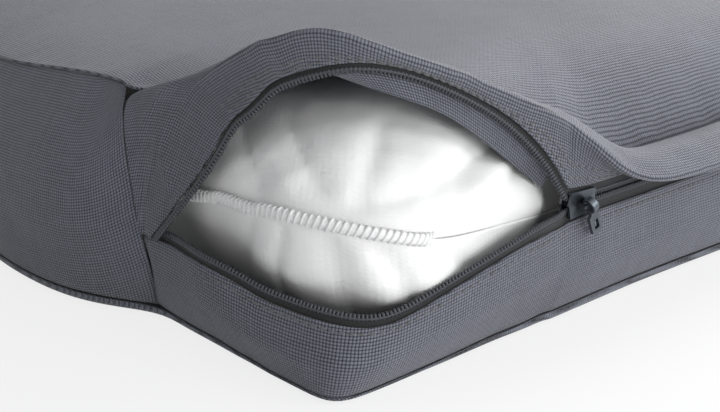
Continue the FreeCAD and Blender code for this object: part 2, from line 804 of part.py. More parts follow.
def throughBoth(body, kind, sketch, thickness, name):
    feature = body.newObject(kind, name)
    feature.Profile = sketch
    feature.Midplane = True
    feature.setExpression("Length", thickness)
    sketch.Visibility = False
    doc.recompute()
    return feature


def addSlider():
    body = newBody("zip_slider_body", "-Sizes.padLength / 2 + Sizes.sliderFromCorner",
                   "-Sizes.padWidth / 2 - Sizes.zipInset", "Sizes.zipHeight")
    end = "Sizes.sliderLength / 2"
    mouth = "Sizes.sliderMouthWidth / 2"
    tail = "Sizes.sliderTailWidth / 2"
    cavity = "(Sizes.coilDepth + 2 * Sizes.coilClearance)"
    outline = newSketch(body, "XZ_Plane", "SliderOutline")
    polygon(outline, [("-" + end, mouth), ("-%s - Sizes.sliderNose" % end, "0"), ("-" + end, "-" + mouth),
                      (end, "-" + tail), (end, tail)])
    throughBoth(body, "PartDesign::Pad", outline, cavity + " + 2 * Sizes.sliderPlate", "SliderBlock")
    # the channel the coils run through, open at the mouth and the tail
    channel = newSketch(body, "XZ_Plane", "SliderChannel")
    past = "Sizes.sliderLength"
    polygon(channel, [("-" + past, mouth + " - Sizes.sliderFlange"), ("-" + past, "-" + mouth + " + Sizes.sliderFlange"),
                      (past, "-" + tail + " + Sizes.sliderFlange"), (past, tail + " - Sizes.sliderFlange")])
    throughBoth(body, "PartDesign::Pocket", channel, cavity, "SliderChannelCut")
    # the slots the tapes pass through
    slots = newSketch(body, "XZ_Plane", "SliderTapeSlots")
    polygon(slots, [("-" + past, past), ("-" + past, "-" + past), (past, "-" + past), (past, past)])
    throughBoth(body, "PartDesign::Pocket", slots, "Sizes.tapeSlot", "SliderTapeSlotCut")
    # the wedge between the coils joins the two plates
    wedge = newSketch(body, "XZ_Plane", "SliderWedge")
    polygon(wedge, [("-" + end, "Sizes.wedgeWidth / 2"), ("-%s - Sizes.sliderNose * 0.6" % end, "0"),
                    ("-" + end, "-Sizes.wedgeWidth / 2"), ("-%s + Sizes.wedgeLength" % end, "0")])
    throughBoth(body, "PartDesign::Pad", wedge, cavity + " + Sizes.sliderPlate", "SliderWedgePad")
    # the bridge the pull turns on
    plate = "%s / 2 + Sizes.sliderPlate" % cavity
    top = "-(%s + Sizes.bridgeHeight)" % plate
    under = "-(%s + Sizes.bridgeHeight - Sizes.bridgeBar)" % plate
    foot = "-(%s - Sizes.sliderPlate / 2)" % plate
    half = "Sizes.bridgeLength / 2"
    bridge = newSketch(body, "XY_Plane", "SliderBridge")
    polygon(bridge, [("-" + half, foot), ("-%s + Sizes.bridgeBar" % half, foot), ("-%s + Sizes.bridgeBar" % half, under),
                     (half + " - Sizes.bridgeBar", under), (half + " - Sizes.bridgeBar", foot), (half, foot),
                     (half, top), ("-" + half, top)])
    throughBoth(body, "PartDesign::Pad", bridge, "Sizes.bridgeBar", "SliderBridgePad")
    return body


def addPull():
    pivotY = "-Sizes.padWidth / 2 - Sizes.zipInset - Sizes.coilDepth / 2 - Sizes.coilClearance"
    pivotY += " - Sizes.sliderPlate - Sizes.bridgeHeight + Sizes.bridgeBar / 2"
    body = newBody("zip_slider_pull", "-Sizes.padLength / 2 + Sizes.sliderFromCorner", pivotY, "Sizes.zipHeight")
    body.Placement = FreeCAD.Placement(body.Placement.Base, FreeCAD.Rotation(Vector(0, -1, 0), 1.0))
    body.setExpression("Placement.Rotation.Angle", "Sizes.pullLean")
    rim = "Sizes.pullEye + Sizes.pullEyeWall"
    eye = newSketch(body, "YZ_Plane", "PullEye")
    circle(eye, rim)
    circle(eye, "Sizes.pullEye")
    throughBoth(body, "PartDesign::Pad", eye, "Sizes.pullNeck", "PullEyePad")
    neck = "Sizes.pullNeck / 2"
    half = "Sizes.pullWidth / 2"
    low = "-Sizes.pullLength"
    tab = newSketch(body, "XZ_Plane", "PullTab")
    top = "-(Sizes.pullEye + Sizes.pullEyeWall / 2)"
    shoulder = "-(%s + Sizes.pullEyeWall)" % rim
    polygon(tab, [("-" + neck, top), ("-" + neck, shoulder), ("-" + half, shoulder + " - 1"),
                  ("-" + half, low + " + Sizes.pullNeck / 2"), ("-" + neck, low),
                  (neck, low), (half, low + " + Sizes.pullNeck / 2"), (half, shoulder + " - 1"),
                  (neck, shoulder), (neck, top)])
    throughBoth(body, "PartDesign::Pad", tab, "Sizes.pullThickness", "PullTabPad")
    window = newSketch(body, "XZ_Plane", "PullWindow")
    side = "Sizes.pullSlotWidth / 2"
    sill = low + " + Sizes.pullSlotWidth"
    polygon(window, [("-" + side, sill), (side, sill),
                     (side, sill + " + Sizes.pullSlotLength"), ("-" + side, sill + " + Sizes.pullSlotLength")])
    throughBoth(body, "PartDesign::Pocket", window, "Sizes.pullThickness * 2", "PullWindowCut")
    return body


def addFilling(name, floor, thickness, edgeRound):
    body = newBody(name, "0", "Sizes.fillBack", floor)
    outline = newSketch(body, "XY_Plane", name + "_outline")
    half = "Sizes.fillLength / 2"
    deep = "Sizes.fillWidth / 2"
    polygon(outline, [("-" + half, "-" + deep), (half, "-" + deep), (half, deep), ("-" + half, deep)])
    pad = body.newObject("PartDesign::Pad", name + "_slab")
    pad.Profile = outline
    pad.setExpression("Length", thickness)
    outline.Visibility = False
    doc.recompute()
    upright = ["Edge%d" % (k + 1) for k, edge in enumerate(pad.Shape.Edges)
               if abs(edge.Vertexes[0].Point.z - edge.Vertexes[-1].Point.z) > 1]
    corners = body.newObject("PartDesign::Fillet", name + "_corners")
    corners.Base = (pad, upright)
    corners.setExpression("Radius", "Sizes.fillCorner")
    doc.recompute()
    flat = ["Face%d" % (k + 1) for k, face in enumerate(corners.Shape.Faces)
            if abs(abs(face.normalAt(0, 0).z) - 1) < 0.01 and face.Surface.TypeId == "Part::GeomPlane"]
    edges = body.newObject("PartDesign::Fillet", name + "_edges")
    edges.Base = (corners, flat)
    edges.setExpression("Radius", edgeRound)
    doc.recompute()
    return body


# ---- placing the cloth pieces in the document ----------------------------------------

def addCloth(name, shape):
    feature = doc.addObject("Part::Feature", name)
    feature.Label = name
    if isinstance(shape, list):
        shape = Part.makeCompound(shape)
    feature.Shape = shape
    feature.Placement = FreeCAD.Placement()
    return feature


nodes = []
nodes.append(addCloth("cover_top_panel", coverTopPanel()))
nodes.append(addCloth("cover_bottom_panel", coverBottomPanel()))
nodes.append(addCloth("cover_side_strip", coverSideStrip()))
nodes.append(addCloth("zip_strip_lower", zipStripLower()))
nodes.append(addCloth("zip_strip_upper", zipStripUpper()))
nodes.append(addCloth("seam_facing", seamFacing()))
nodes.append(addCloth("zip_coil_lower", coilSolid("lower", lowerLead)))
nodes.append(addCloth("zip_coil_upper", coilSolid("upper", upperLead)))
nodes.append(addCloth("zip_tape_lower", zipTapeLower()))
nodes.append(addCloth("zip_tape_upper", zipTapeUpper()))
nodes.append(addCloth("flap_topstitching", flapTopstitching()))
nodes.append(addCloth("lip_topstitching", lipTopstitching()))
nodes.append(addCloth("liner_top_panel", linerTopPanel()))
nodes.append(addCloth("liner_bottom_panel", linerBottomPanel()))
nodes.append(addCloth("liner_overlock_seam", overlockSolid()))
nodes.append(addSlider())
nodes.append(addPull())
foamFloor = "Sizes.fillFloor + Sizes.waddingThickness + Sizes.layerGap"
topFloor = foamFloor + " + Sizes.foamThickness + Sizes.layerGap"
nodes.append(addFilling("wadding_bottom", "Sizes.fillFloor", "Sizes.waddingThickness", "Sizes.waddingThickness * 0.4"))
nodes.append(addFilling("foam_core", foamFloor, "Sizes.foamThickness", "Sizes.foamRound"))
nodes.append(addFilling("wadding_top", topFloor, "Sizes.waddingThickness", "Sizes.waddingThickness * 0.4"))

doc.recompute()
for item in doc.Objects:
    if "Invalid" in item.State or "Error" in item.State:
        raise RuntimeError("%s failed: %s" % (item.Name, item.State))
for node in nodes:
    shape = node.Shape
    box = shape.BoundBox
    if shape.isNull() or not shape.isValid():
        raise RuntimeError("%s has no valid shape" % node.Label)
    print(node.Label, "solids", len(shape.Solids), "volume %.0f" % shape.Volume,
          "x %.1f %.1f" % (box.XMin, box.XMax), "y %.1f %.1f" % (box.YMin, box.YMax),
          "z %.1f %.1f" % (box.ZMin, box.ZMax))
os.makedirs("parts", exist_ok=True)
for node in nodes:
    node.Shape.exportStep("parts/%s.step" % node.Label)
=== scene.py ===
import math

import bmesh
import bpy
import numpy as np
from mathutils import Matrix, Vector


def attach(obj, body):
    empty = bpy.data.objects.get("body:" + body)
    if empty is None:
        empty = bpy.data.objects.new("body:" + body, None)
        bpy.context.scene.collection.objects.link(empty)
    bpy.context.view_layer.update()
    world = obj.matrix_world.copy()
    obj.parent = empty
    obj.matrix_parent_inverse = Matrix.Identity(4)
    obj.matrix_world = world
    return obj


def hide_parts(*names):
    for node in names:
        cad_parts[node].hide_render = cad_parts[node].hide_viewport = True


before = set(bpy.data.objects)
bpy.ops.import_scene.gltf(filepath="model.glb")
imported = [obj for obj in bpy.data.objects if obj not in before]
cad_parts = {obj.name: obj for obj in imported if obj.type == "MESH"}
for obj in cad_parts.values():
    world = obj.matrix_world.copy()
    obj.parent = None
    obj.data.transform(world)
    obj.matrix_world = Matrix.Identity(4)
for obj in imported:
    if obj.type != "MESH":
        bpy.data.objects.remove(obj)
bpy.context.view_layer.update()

# Lengths are written in millimetres and become metres where a mesh is made.
mm = 0.001
padLength = 400.0
padWidth = 330.0
frontLeft = np.array((-padLength / 2, -padWidth / 2, 0.0))
up = np.array((0.0, 0.0, 1.0))


# small helpers
def vec(*xyz):
    return np.array(xyz, float)


def unit(v):
    return v / np.maximum(np.linalg.norm(v, axis=-1, keepdims=True), 1e-9)


def mix(a, b, share):
    return a + (b - a) * share


def ease(value, low, high):
    # smooth step from 0 at low to 1 at high
    share = np.clip((value - low) / (high - low), 0.0, 1.0)
    return share * share * (3 - 2 * share)


def spacing(lines):
    # how far along the cloth each line of points lies
    lines = [np.asarray(line, float) for line in lines]
    steps = [np.linalg.norm(b - a, axis=-1).mean() for a, b in zip(lines, lines[1:])]
    return np.concatenate(([0.0], np.cumsum(steps)))


def basisOn(knots, samples, count):
    # cubic spline weights of count poles over a full row of knots
    basis = ((samples[:, None] >= knots[:-1]) & (samples[:, None] < knots[1:])).astype(float)
    for d in range(1, 4):
        left = knots[d:-1] - knots[:-d - 1]
        right = knots[d + 1:] - knots[1:-d]
        rising = np.where(left > 0, (samples[:, None] - knots[:-d - 1]) / np.where(left > 0, left, 1), 0)
        falling = np.where(right > 0, (knots[d + 1:] - samples[:, None]) / np.where(right > 0, right, 1), 0)
        basis = rising * basis[:, :-1] + falling * basis[:, 1:]
    return basis[:, :count]


def openWeights(samples, places):
    # an open row, held at both its ends; samples run from 0 to 1
    inner = [np.mean(places[j:j + 3]) for j in range(1, len(places) - 3)]
    knots = np.concatenate(([places[0]] * 4, inner, [places[-1]] * 4))
    t = places[0] + np.clip(np.asarray(samples, float), 0, 1 - 1e-9) * (places[-1] - places[0])
    return basisOn(knots, t, len(places))


def ringWeights(samples, places):
    # a closed row; the last place is the whole way round
    count = len(places) - 1
    whole = places[-1]

    def middle(j):
        return sum(places[k % count] + whole * (k // count) for k in (j - 1, j, j + 1)) / 3.0

    reach = range(-4, count + 5)
    knots = np.array([middle(j) for j in reach])
    t = middle(0) + np.asarray(samples, float) * whole
    basis = basisOn(knots, t, len(knots) - 4)
    weights = np.zeros((len(t), count))
    for column in range(basis.shape[1]):
        weights[:, (column + 2 + reach[0]) % count] += basis[:, column]
    return weights


def normalsOf(grid, closedRows=False):
    # grid[row, column, xyz]
    if closedRows:
        along = np.roll(grid, -1, 0) - np.roll(grid, 1, 0)
    else:
        along = np.gradient(grid, axis=0)
    across = np.gradient(grid, axis=1)
    return unit(np.cross(along, across))


def noise1(values, seed, octaves=3):
    # smooth repeatable noise of one variable
    values = np.asarray(values, float)
    total = np.zeros_like(values)
    rng = np.random.default_rng(seed)
    size = 1.0
    for _ in range(octaves):
        table = rng.uniform(-1, 1, 512)
        place = values / size
        index = np.floor(place).astype(int)
        f = place - index
        f = f * f * (3 - 2 * f)
        total += mix(table[index % 512], table[(index + 1) % 512], f) * size
        size *= 0.5
    return total / 2.0


def noise2(u, v, seed, octaves=3):
    rng = np.random.default_rng(seed)
    total = np.zeros_like(u)
    size = 1.0
    for _ in range(octaves):
        table = rng.uniform(-1, 1, (128, 128))
        a, b = u / size, v / size
        i, j = np.floor(a).astype(int), np.floor(b).astype(int)
        fa, fb = a - i, b - j
        fa, fb = fa * fa * (3 - 2 * fa), fb * fb * (3 - 2 * fb)
        low = mix(table[i % 128, j % 128], table[(i + 1) % 128, j % 128], fa)
        high = mix(table[i % 128, (j + 1) % 128], table[(i + 1) % 128, (j + 1) % 128], fa)
        total += mix(low, high, fb) * size
        size *= 0.5
    return total / 2.0


def addGrid(name, grid, closedRows=False, thickness=0.0, flip=False, turnUv=False):
    # a cloth surface from a grid of points in millimetres, with UVs in metres along the cloth
    rows, cols = grid.shape[:2]
    mesh = bpy.data.meshes.new(name)
    faces = []
    lastRow = rows if closedRows else rows - 1
    for i in range(lastRow):
        k = (i + 1) % rows
        for j in range(cols - 1):
            quad = (i * cols + j, k * cols + j, k * cols + j + 1, i * cols + j + 1)
            faces.append(quad[::-1] if flip else quad)
    mesh.from_pydata((grid.reshape(-1, 3) * mm).tolist(), [], faces)
    stepsAlong = np.linalg.norm(np.diff(grid, axis=0), axis=2).mean(axis=1)
    along = np.concatenate(([0.0], np.cumsum(stepsAlong)))
    stepsAcross = np.linalg.norm(np.diff(grid, axis=1), axis=2)
    across = np.concatenate((np.zeros((rows, 1)), np.cumsum(stepsAcross, axis=1)), axis=1)
    across -= across[:, cols // 2][:, None]
    layer = mesh.uv_layers.new(name="UVMap")
    uv = np.zeros((len(mesh.loops), 2))
    vertex = np.zeros(len(mesh.loops), int)
    mesh.loops.foreach_get("vertex_index", vertex)
    uv[:, 0] = along[vertex // cols] * mm
    uv[:, 1] = across.reshape(-1)[vertex] * mm
    if turnUv:
        uv = uv[:, ::-1]
    layer.data.foreach_set("uv", uv.reshape(-1))
    mesh.polygons.foreach_set("use_smooth", [True] * len(mesh.polygons))
    obj = bpy.data.objects.new(name, mesh)
    bpy.context.scene.collection.objects.link(obj)
    if thickness:
        solid = obj.modifiers.new("thickness", "SOLIDIFY")
        solid.thickness = thickness * mm
        solid.offset = 0
        solid.use_even_offset = True
        applyModifiers(obj)
    return obj


def applyModifiers(obj):
    graph = bpy.context.evaluated_depsgraph_get()
    fresh = bpy.data.meshes.new_from_object(obj.evaluated_get(graph))
    obj.modifiers.clear()
    old = obj.data
    obj.data = fresh
    fresh.name = old.name
    bpy.data.meshes.remove(old)
    obj.data.polygons.foreach_set("use_smooth", [True] * len(obj.data.polygons))


def finishPiece(obj, body, material, nodes=()):
    obj.data.materials.clear()
    obj.data.materials.append(material)
    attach(obj, body)
    if nodes:
        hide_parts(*nodes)
    return obj


# stations: the same lines as the solid model
openCorner = [
    ((-10, 86, 0), (-13.2, 84.3, -9.2), (-15, 76.3, -10.3), (-15.3, 82.9, -10.3), (-9.4, 100.5, 2.4),
     (-4, 88, 1), (4, 98, 24)),
    ((-9, 73, -1), (-11, 77, -8.6), (-12, 64, 4), (-13, 83, 4), (-9, 99, 2), (-3, 76, 4), (5, 92, 25)),
    ((-8, 62, -1), (-10.5, 67.5, -9), (-7, 55, 16), (-9, 80, 18), (-8.7, 98, 1.6), (-3, 64, 6), (6, 84, 27)),
    ((-7, 52, -1), (-11, 56.5, -9.5), (-2, 51, 27), (-5, 73, 33), (-8.3, 97, 1.3), (-2, 55, 8), (7, 76, 28)),
    ((-6, 44, -2), (-10, 46, -10), (0, 48, 33), (-3, 67, 41), (-8, 96, 1), (-2, 48, 9), (8, 66, 30)),
    ((-5, 36, -2), (-7, 39, -12), (2, 44, 36), (-1, 61, 46), (2, 85, 0), (-2, 41, 9), (9, 56, 32)),
    ((-4, 28, -3), (-4, 31, -15), (4, 40, 40), (1, 54, 51), (9, 74, 4), (-1, 34, 10), (11, 47, 33)),
    ((-3, 21, -3), (-1, 24, -16), (6, 36, 45), (3, 44, 57), (16, 60, 10), (0, 27, 11), (13, 38, 35)),
    ((-2, 12, -3), (2, 16, -17), (9, 31, 48), (6, 33, 62), (22, 46, 14), (2, 20, 11), (15, 31, 36)),
    ((0, 0, -3), (8, 3, -18), (13, 21, 52), (12, 20, 67), (29, 32, 16), (9, 7, 10), (21, 20, 36)),
    ((14, -1, -3), (18, -3, -19), (21, 13, 54), (20, 10, 63), (38, 23, 15), (20, -2, 7), (30, 14, 35)),
    ((30, -1, -3), (33, -6, -14), (34, 7, 51), (33, 5, 57), (50, 18, 11), (33, -5, 3), (42, 9, 32)),
    ((48, -2, -2), (49, -8, -9), (48, 3, 44), (48, 2, 51), (64, 14, 5), (49, -3, 0), (56, 7, 27)),
    ((66, -2, -1), (66, -9, -5), (64, 1, 35), (65, -1, 43), (78, 11, -2), (67, -1, -2), (72, 7, 20)),
    ((80, -3, -1), (79, -8, -3), (78, -2, 23), (80, -4, 36), (92, 10, -11), (82, 1, -4), (86, 8, 13)),
    ((88, -3, 0), (87, -7, -3), (87, -5, 11), (88, -6, 31), (102, 9, -17), (90, 2, -5), (94, 9, 9)),
]
cornerRow = 9
leftEndSeam = [(-10, 86, 5), (-14, 82, 20), (-16, 85, 33), (-15.5, 89, 46), (-14.5, 94, 60), (-12, 98, 73),
               (-10, 99.5, 78), (-9.4, 100, 80)]
zipEndRow = 2
lowerEndBow = np.array((-2.6, -5.0, 0.0))
facingEdge = [(21, 20, 93.5), (27, 12, 90), (37, 8, 86.4), (50, 5.5, 79.5), (66, 4, 67.5),
              (78, 2, 57), (87.5, 1, 50)]
sliderStations = [
    (-7.5, 2.7, 29.0, 6.0),
    (-6.2, 2.25, 28.0, 7.0),
    (-3.0, 2.0, 25.0, 9.0),
    (0.5, 1.65, 22.0, 11.0),
    (4.0, 1.35, 18.5, 13.0),
    (12.0, 1.35, 11.5, 16.0),
    (24.0, 1.35, 6.0, 19.0),
    (44.0, 1.35, 4.5, 20.5),
]
outline = {
    "topSeam": 78.0,
    "crown": 87.0,
    "corner": 16.0,
    "sideBulge": 36.0,
    "sideBulgeTop": 20.0,
    "backBulge": 17.0,
    "backBulgeTop": 9.0,
    "bottomSeam": 5.0,
    "zip": 44.0,
    "zipInset": 6.0,
    "zipReturn": 86.0,
    "slider": 99.0,
    "topInset": 8.0,
    "topDrop": 31.0,
    "flapLift": 4.5,
    "flapReach": 20.5,
    "stripBulge": 11.0,
    "lowerBulge": 3.4,
}
frontRun = (vec(1, 0, 0), vec(0, -1, 0))
rightRun = (vec(0, 1, 0), vec(1, 0, 0))
backRun = (vec(-1, 0, 0), vec(0, 1, 0))
leftRun = (vec(0, -1, 0), vec(-1, 0, 0))
frontRight = vec(padLength / 2, -padWidth / 2, 0)
backRight = vec(padLength / 2, padWidth / 2, 0)
backLeft = vec(-padLength / 2, padWidth / 2, 0)
mouthDown = vec(-0.35, -0.3, -1)


def cornerPoint(entry, lift):
    return frontLeft + vec(entry[0], entry[1], lift + entry[2])


def openStations():
    rows = []
    last = len(openCorner) - 1
    for index, entry in enumerate(openCorner):
        turned = min(max((index - cornerRow + 3) / 5.0, 0.0), 1.0)
        row = {
            "bottom": cornerPoint(entry[0], outline["bottomSeam"]),
            "lower": cornerPoint(entry[1], outline["zip"]),
            "upper": cornerPoint(entry[2], outline["zip"]),
            "fold": cornerPoint(entry[3], outline["zip"]),
            "top": cornerPoint(entry[4], outline["topSeam"]),
            "liner": cornerPoint(entry[5], outline["zip"]),
            "shoulder": cornerPoint(entry[6], outline["zip"]),
            "outward": unit(mix(leftRun[1], frontRun[1], turned)),
            "closed": min(1.0, max(0.0, (index - last + 2) / 2.0)),
            "mouth": mix(vec(0, -1, 0), mouthDown, min(1.0, max(0.0, (index - 3) / 5.0))),
            "rooted": 0.0,
        }
        row["root"] = row["top"]
        if index + zipEndRow < len(leftEndSeam) - 2:
            row["root"] = cornerPoint(leftEndSeam[index + zipEndRow], 0)
            row["rooted"] = 1.0
        rows.append(row)
    rows[0]["bow"] = lowerEndBow
    return rows


def closedStation(place, outward, spread, foldLift, foldReach, topDrop, topInset, bottomOut):
    zipLine = place + outward * outline["zipInset"] + up * outline["zip"]
    topLevel = outline["topSeam"] - topDrop
    return {
        "bottom": place + outward * bottomOut + up * outline["bottomSeam"],
        "lower": zipLine - up * spread,
        "upper": zipLine + up * spread,
        "fold": place + outward * foldReach + up * (outline["zip"] + foldLift),
        "top": place - outward * topInset + up * topLevel,
        "root": place - outward * topInset + up * topLevel,
        "liner": place - outward * 4 + up * (outline["zip"] - 6),
        "shoulder": place - outward * 11 + up * (topLevel - 1),
        "outward": outward,
        "closed": 1.0,
        "mouth": mouthDown,
        "rooted": 0.0,
    }


def rounded(distance, corner, before, after):
    radius = outline["corner"]
    halfArc = radius * math.pi / 4
    inner = corner - before[1] * radius - after[1] * radius
    if distance <= -halfArc:
        return inner + before[1] * radius + before[0] * (distance + halfArc), before[1]
    if distance >= halfArc:
        return inner + after[1] * radius + after[0] * (distance - halfArc), after[1]
    turn = (distance / halfArc + 1) * math.pi / 4
    outward = before[1] * math.cos(turn) + after[1] * math.sin(turn)
    return inner + outward * radius, outward


def frontStations():
    rows = openStations()
    middle = frontLeft[0] + outline["slider"]
    for offset, spread, lift, reach in sliderStations:
        place = vec(middle + offset, frontLeft[1], 0)
        settled = min(1.0, max(0.0, (offset + 7.5) / 36.0))
        drop = 19 + (outline["topDrop"] - 19) * settled
        lead = vec(15 * (1 - settled), 0, 0)
        row = closedStation(place, frontRun[1], spread, lift, reach, drop, outline["topInset"], 4)
        for key, share in (("top", 1.0), ("root", 1.0), ("shoulder", 0.5)):
            row[key] = row[key] + lead * share
        rows.append(row)
    start = middle + sliderStations[-1][0]
    end = frontRight[0] - 2 * outline["corner"]
    spread = sliderStations[-1][1]
    for step in range(1, 5):
        share = step / 4.0
        place = vec(start + (end - start) * share, frontLeft[1], 0)
        rows.append(closedStation(place, frontRun[1], spread, outline["flapLift"], outline["flapReach"],
                                  outline["topDrop"] - 14 * share ** 2, outline["topInset"],
                                  4 + 6 * math.sin(math.pi * share) ** 2))
    radius = outline["corner"]
    around = [-radius, -0.5 * radius, 0, 0.5 * radius, radius, 2.2 * radius, 3.7 * radius,
              outline["zipReturn"]]
    for count, distance in enumerate(around):
        place, outward = rounded(distance, frontRight, frontRun, rightRun)
        share = (count + 1.0) / len(around)
        returned = max(0.0, (distance - radius) / (outline["zipReturn"] - radius))
        rows.append(closedStation(place, outward, spread, outline["flapLift"], outline["flapReach"],
                                  17 - 12 * share, outline["topInset"] - 14 * returned, 4 + 8 * share ** 2))
    return rows


def sideStations():
    rows = []

    def bulgeRow(place, outward, low, high, level):
        top = place + outward * high + up * level
        zero = place * 1.0
        rows.append({
            "bottom": place + outward * low + up * outline["bottomSeam"],
            "lower": zero, "upper": zero, "fold": zero,
            "top": top, "root": top,
            "liner": place + outward * ((low + high) / 2 - 7) + up * outline["zip"],
            "shoulder": place + outward * (high - 9) + up * (level - 14),
            "outward": outward, "closed": 1.0, "mouth": mouthDown, "rooted": 0.0,
        })

    level = outline["topSeam"]
    first = outline["zipReturn"]
    sideEnd = padWidth - 1.2 * outline["corner"]
    for step in range(1, 6):
        y = first + (sideEnd - first) * step / 6.0
        swell = 0.7 * math.sin(math.pi * y / padWidth) ** 0.8
        bulgeRow(vec(frontRight[0], frontRight[1] + y, 0), rightRun[1],
                 outline["sideBulge"] * swell, outline["sideBulgeTop"] * swell, level - 3)
    radius = outline["corner"]
    for distance in (-radius, -0.4 * radius, 0.4 * radius, radius):
        place, outward = rounded(distance, backRight, rightRun, backRun)
        bulgeRow(place, outward, 3, 1, level - 4)
    for step in range(1, 8):
        share = step / 8.0
        swell = math.sin(math.pi * share) ** 0.7
        place = vec(backRight[0] - radius * 1.2 - (padLength - 2.4 * radius) * share, backRight[1], 0)
        bulgeRow(place, backRun[1], 3 + outline["backBulge"] * swell,
                 1 + outline["backBulgeTop"] * swell, level - 4)
    for distance in (-radius, -0.4 * radius, 0.4 * radius, radius):
        place, outward = rounded(distance, backLeft, backRun, leftRun)
        bulgeRow(place, outward, 3, 1, level - 4)
    leftSide = [(0.90, 0.28, 0.30, -4), (0.78, 0.64, 0.70, -4), (0.64, 0.92, 0.98, -3), (0.52, 1.0, 1.0, -2),
                (0.43, 0.95, 0.80, 1), (0.36, 0.82, 0.62, 3), (0.31, 0.60, 0.48, 3)]
    for share, low, high, lift in leftSide:
        bulgeRow(vec(frontLeft[0], frontLeft[1] + padWidth * share, 0), leftRun[1],
                 outline["sideBulge"] * low, outline["sideBulgeTop"] * high, level + lift)
    return rows


front = frontStations()
side = sideStations()
ring = front + side
seamPlaces = spacing([(row["bottom"], row["top"]) for row in ring + ring[:1]])
frontPlaces = seamPlaces[:len(front)]
sidePlaces = seamPlaces[len(front) - 1:]
seamStep = 3.0          # millimetres between samples along the seams


def sampled(keys, rows, weights):
    result = {}
    for key in keys:
        result[key] = weights @ np.array([np.atleast_1d(row[key]) for row in rows], float)
    return result


ringSamples = np.linspace(0, 1, int(seamPlaces[-1] / seamStep), endpoint=False)
ringFine = sampled(["bottom", "top", "liner", "shoulder", "outward"], ring,
                   ringWeights(ringSamples, seamPlaces))
ringFine["outward"] = unit(ringFine["outward"])
ringPlace = ringSamples * seamPlaces[-1] - seamPlaces[cornerRow]
print("stations", len(front), len(side))


# cloth sections: control nets
cloth = {
    "cover": 0.9,
    "liner": 0.6,
    "seamGap": 0.3,
    "layerGap": 0.3,
    "foldGap": 2.6,
    "flapBulge": 6.5,
    "tapeShown": 3.9,
    "tapeShownOpen": 2.6,
    "facingBehind": 2.2,
    "tapeHidden": 0.8,
    "tapeEase": 0.3,
    "tape": 0.5,
    "coilWidth": 2.4,
    "coilGap": 0.3,
    "coilDepth": 2.0,
}


def surface(rows, places, along, across):
    # dense points of the smooth surface over a control net
    net = np.array(rows, float)
    u = openWeights(np.linspace(0, 1, along), places)
    v = openWeights(np.linspace(0, 1, across), spacing(list(net.transpose(1, 0, 2))))
    return np.einsum("ai,bj,ijk->abk", u, v, net)


def toward(a, b):
    return unit(b - a)


def tapeShown(row):
    return mix(cloth["tapeShownOpen"], cloth["tapeShown"], row["closed"])


def tapeEdge(row):
    reach = np.linalg.norm(row["fold"] - row["upper"])
    lead = unit(mix(toward(row["upper"], row["fold"]), up, row["closed"]))
    return row["upper"] + lead * min(tapeShown(row), 0.48 * reach)


def flapSection(row):
    half = cloth["cover"] / 2
    if row["rooted"] > 0.5:
        start = row["root"] + vec(half, -cloth["seamGap"], 0)
        hint = row["mouth"]
    else:
        start = row["top"] + row["outward"] * (cloth["seamGap"] + half) + up * (cloth["seamGap"] / 2 + half)
        turned = min(1.0, max(0.0, (row["fold"][2] - row["top"][2]) / 12.0))
        hint = mix(-up - row["outward"], row["mouth"], turned)
    fold = row["fold"]
    edge = tapeEdge(row)
    down = toward(start, fold)
    across = unit(hint - down * hint.dot(down))
    reach = np.linalg.norm(fold - start)
    bulge = cloth["flapBulge"] * min(1.0, reach / 26.0) * (0.35 + 0.65 * row["closed"])
    turn = min(cloth["foldGap"] / 2, 0.25 * reach, 0.25 * np.linalg.norm(edge - fold))
    apart = cloth["foldGap"] * max(0.0, -down.dot(toward(fold, edge)))
    inner = fold + across * apart
    back = toward(inner, edge)
    line = []
    for share in (0.0, 0.22, 0.45, 0.68, 0.88):
        line.append(mix(start, fold - down * turn, share) - across * (bulge * math.sin(math.pi * share)))
    line.append(fold - down * turn)
    line.append(fold - down * (0.3 * turn) + across * (0.15 * apart))
    line.append(fold + across * (0.5 * apart))
    line.append(fold + back * (0.3 * turn) + across * (0.85 * apart))
    line.append(inner + back * turn)
    short = cloth["tape"] / 2 + cloth["layerGap"] + cloth["tapeEase"]
    edge = edge + row["outward"] * (short * row["closed"])
    innerBulge = 0.42 * bulge * row["closed"]
    for share in (0.3, 0.6, 0.82, 1.0):
        line.append(mix(inner + back * turn, edge, share) - across * (innerBulge * math.sin(math.pi * share)))
    return line


def lowerSection(row, columns=6):
    low = row["bottom"] + up * (cloth["seamGap"] / 2) - row["outward"] * (cloth["cover"] / 2)
    down = toward(row["lower"], row["bottom"])
    clear = cloth["cover"] / 2 + cloth["layerGap"] + cloth["tape"] / 2 + cloth["tapeEase"]
    lip = row["lower"] + down * tapeShown(row) + row["outward"] * clear
    bow = row.get("bow", row["outward"] * outline["lowerBulge"])
    line = []
    for j in range(columns):
        share = j / (columns - 1.0)
        line.append(mix(low, lip, share) + bow * (math.sin(math.pi * share) * (1 - 0.3 * share)))
    return line


def sideSection(row, columns=8):
    low = row["bottom"] + up * (cloth["seamGap"] / 2) - row["outward"] * (cloth["cover"] / 2)
    high = row["top"] - up * (cloth["seamGap"] / 2) - row["outward"] * (cloth["cover"] / 2)
    line = []
    for j in range(columns):
        share = j / (columns - 1.0)
        swell = outline["stripBulge"] * math.sin(math.pi * share)
        line.append(mix(low, high, share) + row["outward"] * swell)
    return line


